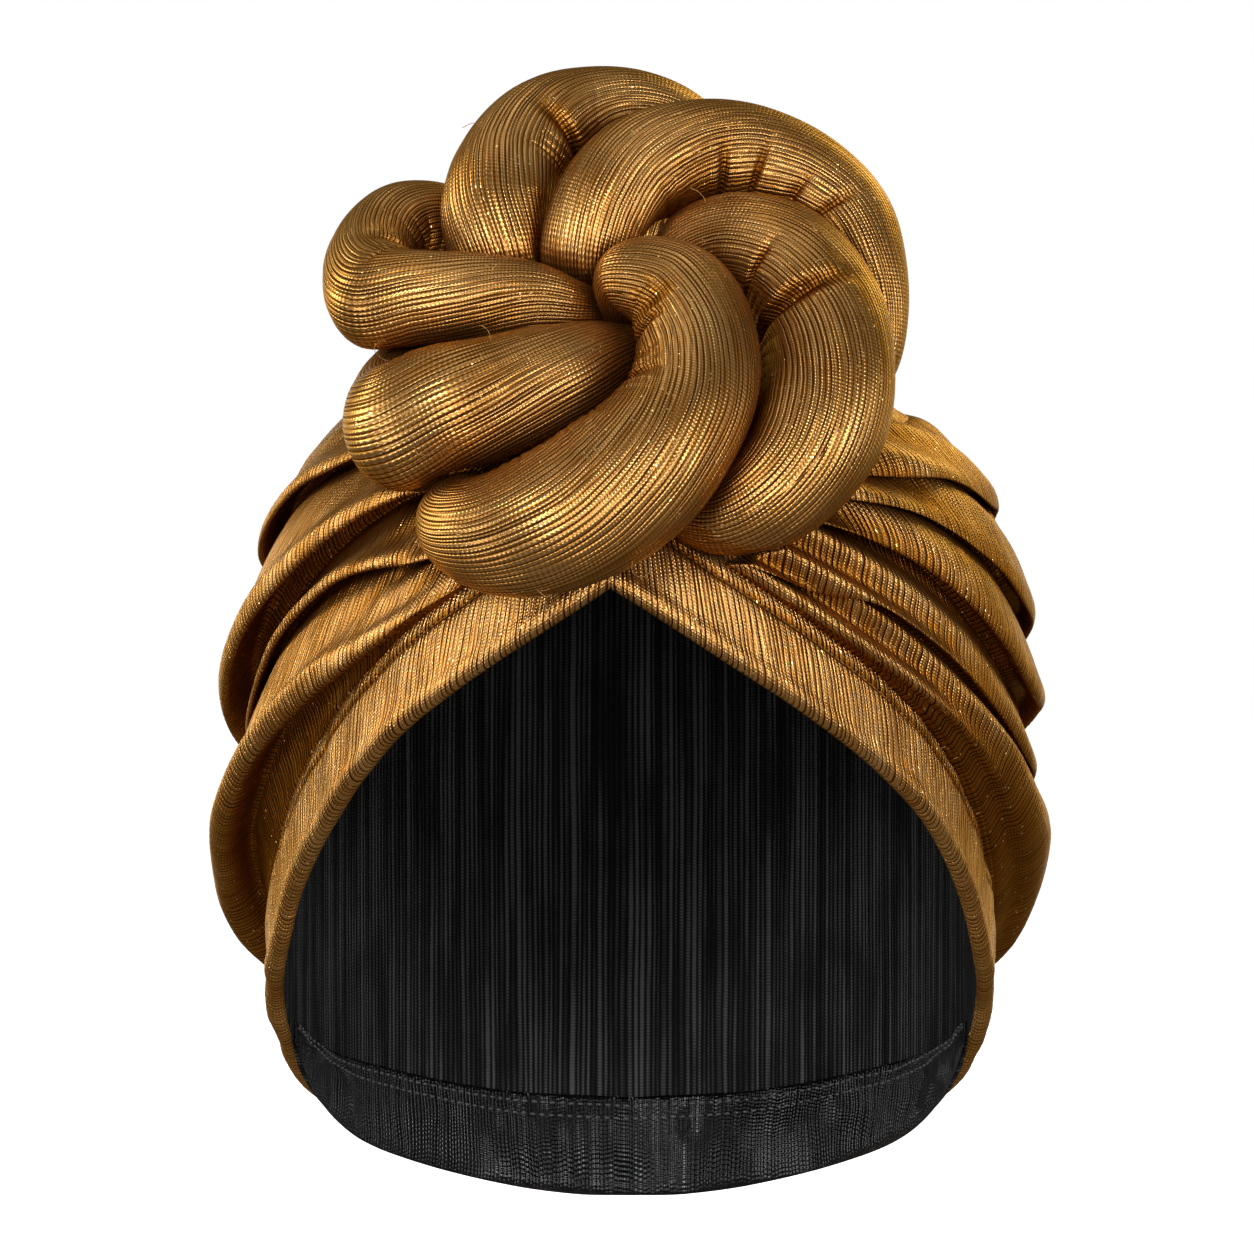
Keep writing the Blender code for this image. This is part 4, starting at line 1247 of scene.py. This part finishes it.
# Each lamp's place in metres, its size and its power; all point at the hat's middle
LAMPS = {
    "key": ((-0.65, -1.6, 0.45), 0.45, 15),
    "fill": ((1.25, -1.3, 0.15), 0.5, 11),
    "side": ((-1.5, -0.75, -0.5), 0.6, 8),
    "low": ((0.1, -1.75, -0.45), 0.6, 5),
    "front": ((0.2, -1.95, -0.1), 0.6, 6),
    "top": ((-0.2, -0.1, 1.5), 0.9, 4),
    "rim": ((-1.4, 0.5, 0.45), 0.7, 12),
    "back": ((0.9, 1.5, 0.9), 0.9, 10),
}
HAT_MIDDLE = Vector((0, -0.04, -0.06))
FLOOR_HEIGHT = -0.225
FLOOR_RADIUS = 12


def studio():
    camera = in_scene("camera", bpy.data.cameras.new("camera"))
    camera.data.lens = SENSOR * VIEW_DISTANCE / VIEW_WIDTH
    camera.data.sensor_width = SENSOR
    camera.location = (VIEW_SIDE, -VIEW_DISTANCE, VIEW_HEIGHT)
    camera.rotation_euler = (math.pi / 2, 0, 0)
    bpy.context.scene.camera = camera

    shape = bmesh.new()
    bmesh.ops.create_circle(shape, cap_ends=True, segments=96, radius=FLOOR_RADIUS)
    bmesh.ops.translate(shape, verts=shape.verts, vec=(0, 0, FLOOR_HEIGHT))
    mesh = bpy.data.meshes.new("floor")
    shape.to_mesh(mesh)
    shape.free()
    floor = in_scene("floor", mesh)
    # White paint that glows, so that it shows no shadow, as in the photo
    paint, tree, shader = new_finish("studio_floor")
    feed(tree, shader, {"Base Color": linear("F4F4F2"), "Roughness": 0.8})
    feed(tree, shader, {"Emission Color": linear("FFFFFF"), "Emission Strength": 0.95})
    mesh.materials.append(paint)
    floor.visible_diffuse = floor.visible_glossy = False

    world = bpy.data.worlds.new("studio")
    bpy.context.scene.world = world
    world.use_nodes = True
    tree = world.node_tree
    way = node(tree, "TexCoord", gives="Generated")
    height = node(tree, "SeparateXYZ", {0: way}, "Z")
    half = calc(tree, "MULTIPLY_ADD", height, 0.5, 0.5)
    feed(tree, tree.nodes["Background"], {"Color": ramp(tree, half, SKY), "Strength": 1.0})

    for name, (place, size, power) in LAMPS.items():
        lamp = bpy.data.lights.new(name, "AREA")
        lamp.energy, lamp.size, lamp.shape = power, size, "SQUARE"
        made = in_scene(name, lamp)
        made.location = place
        made.rotation_euler = (HAT_MIDDLE - made.location).to_track_quat("-Z", "Y").to_euler()
    bpy.context.scene.view_settings.view_transform = "Standard"


studio()
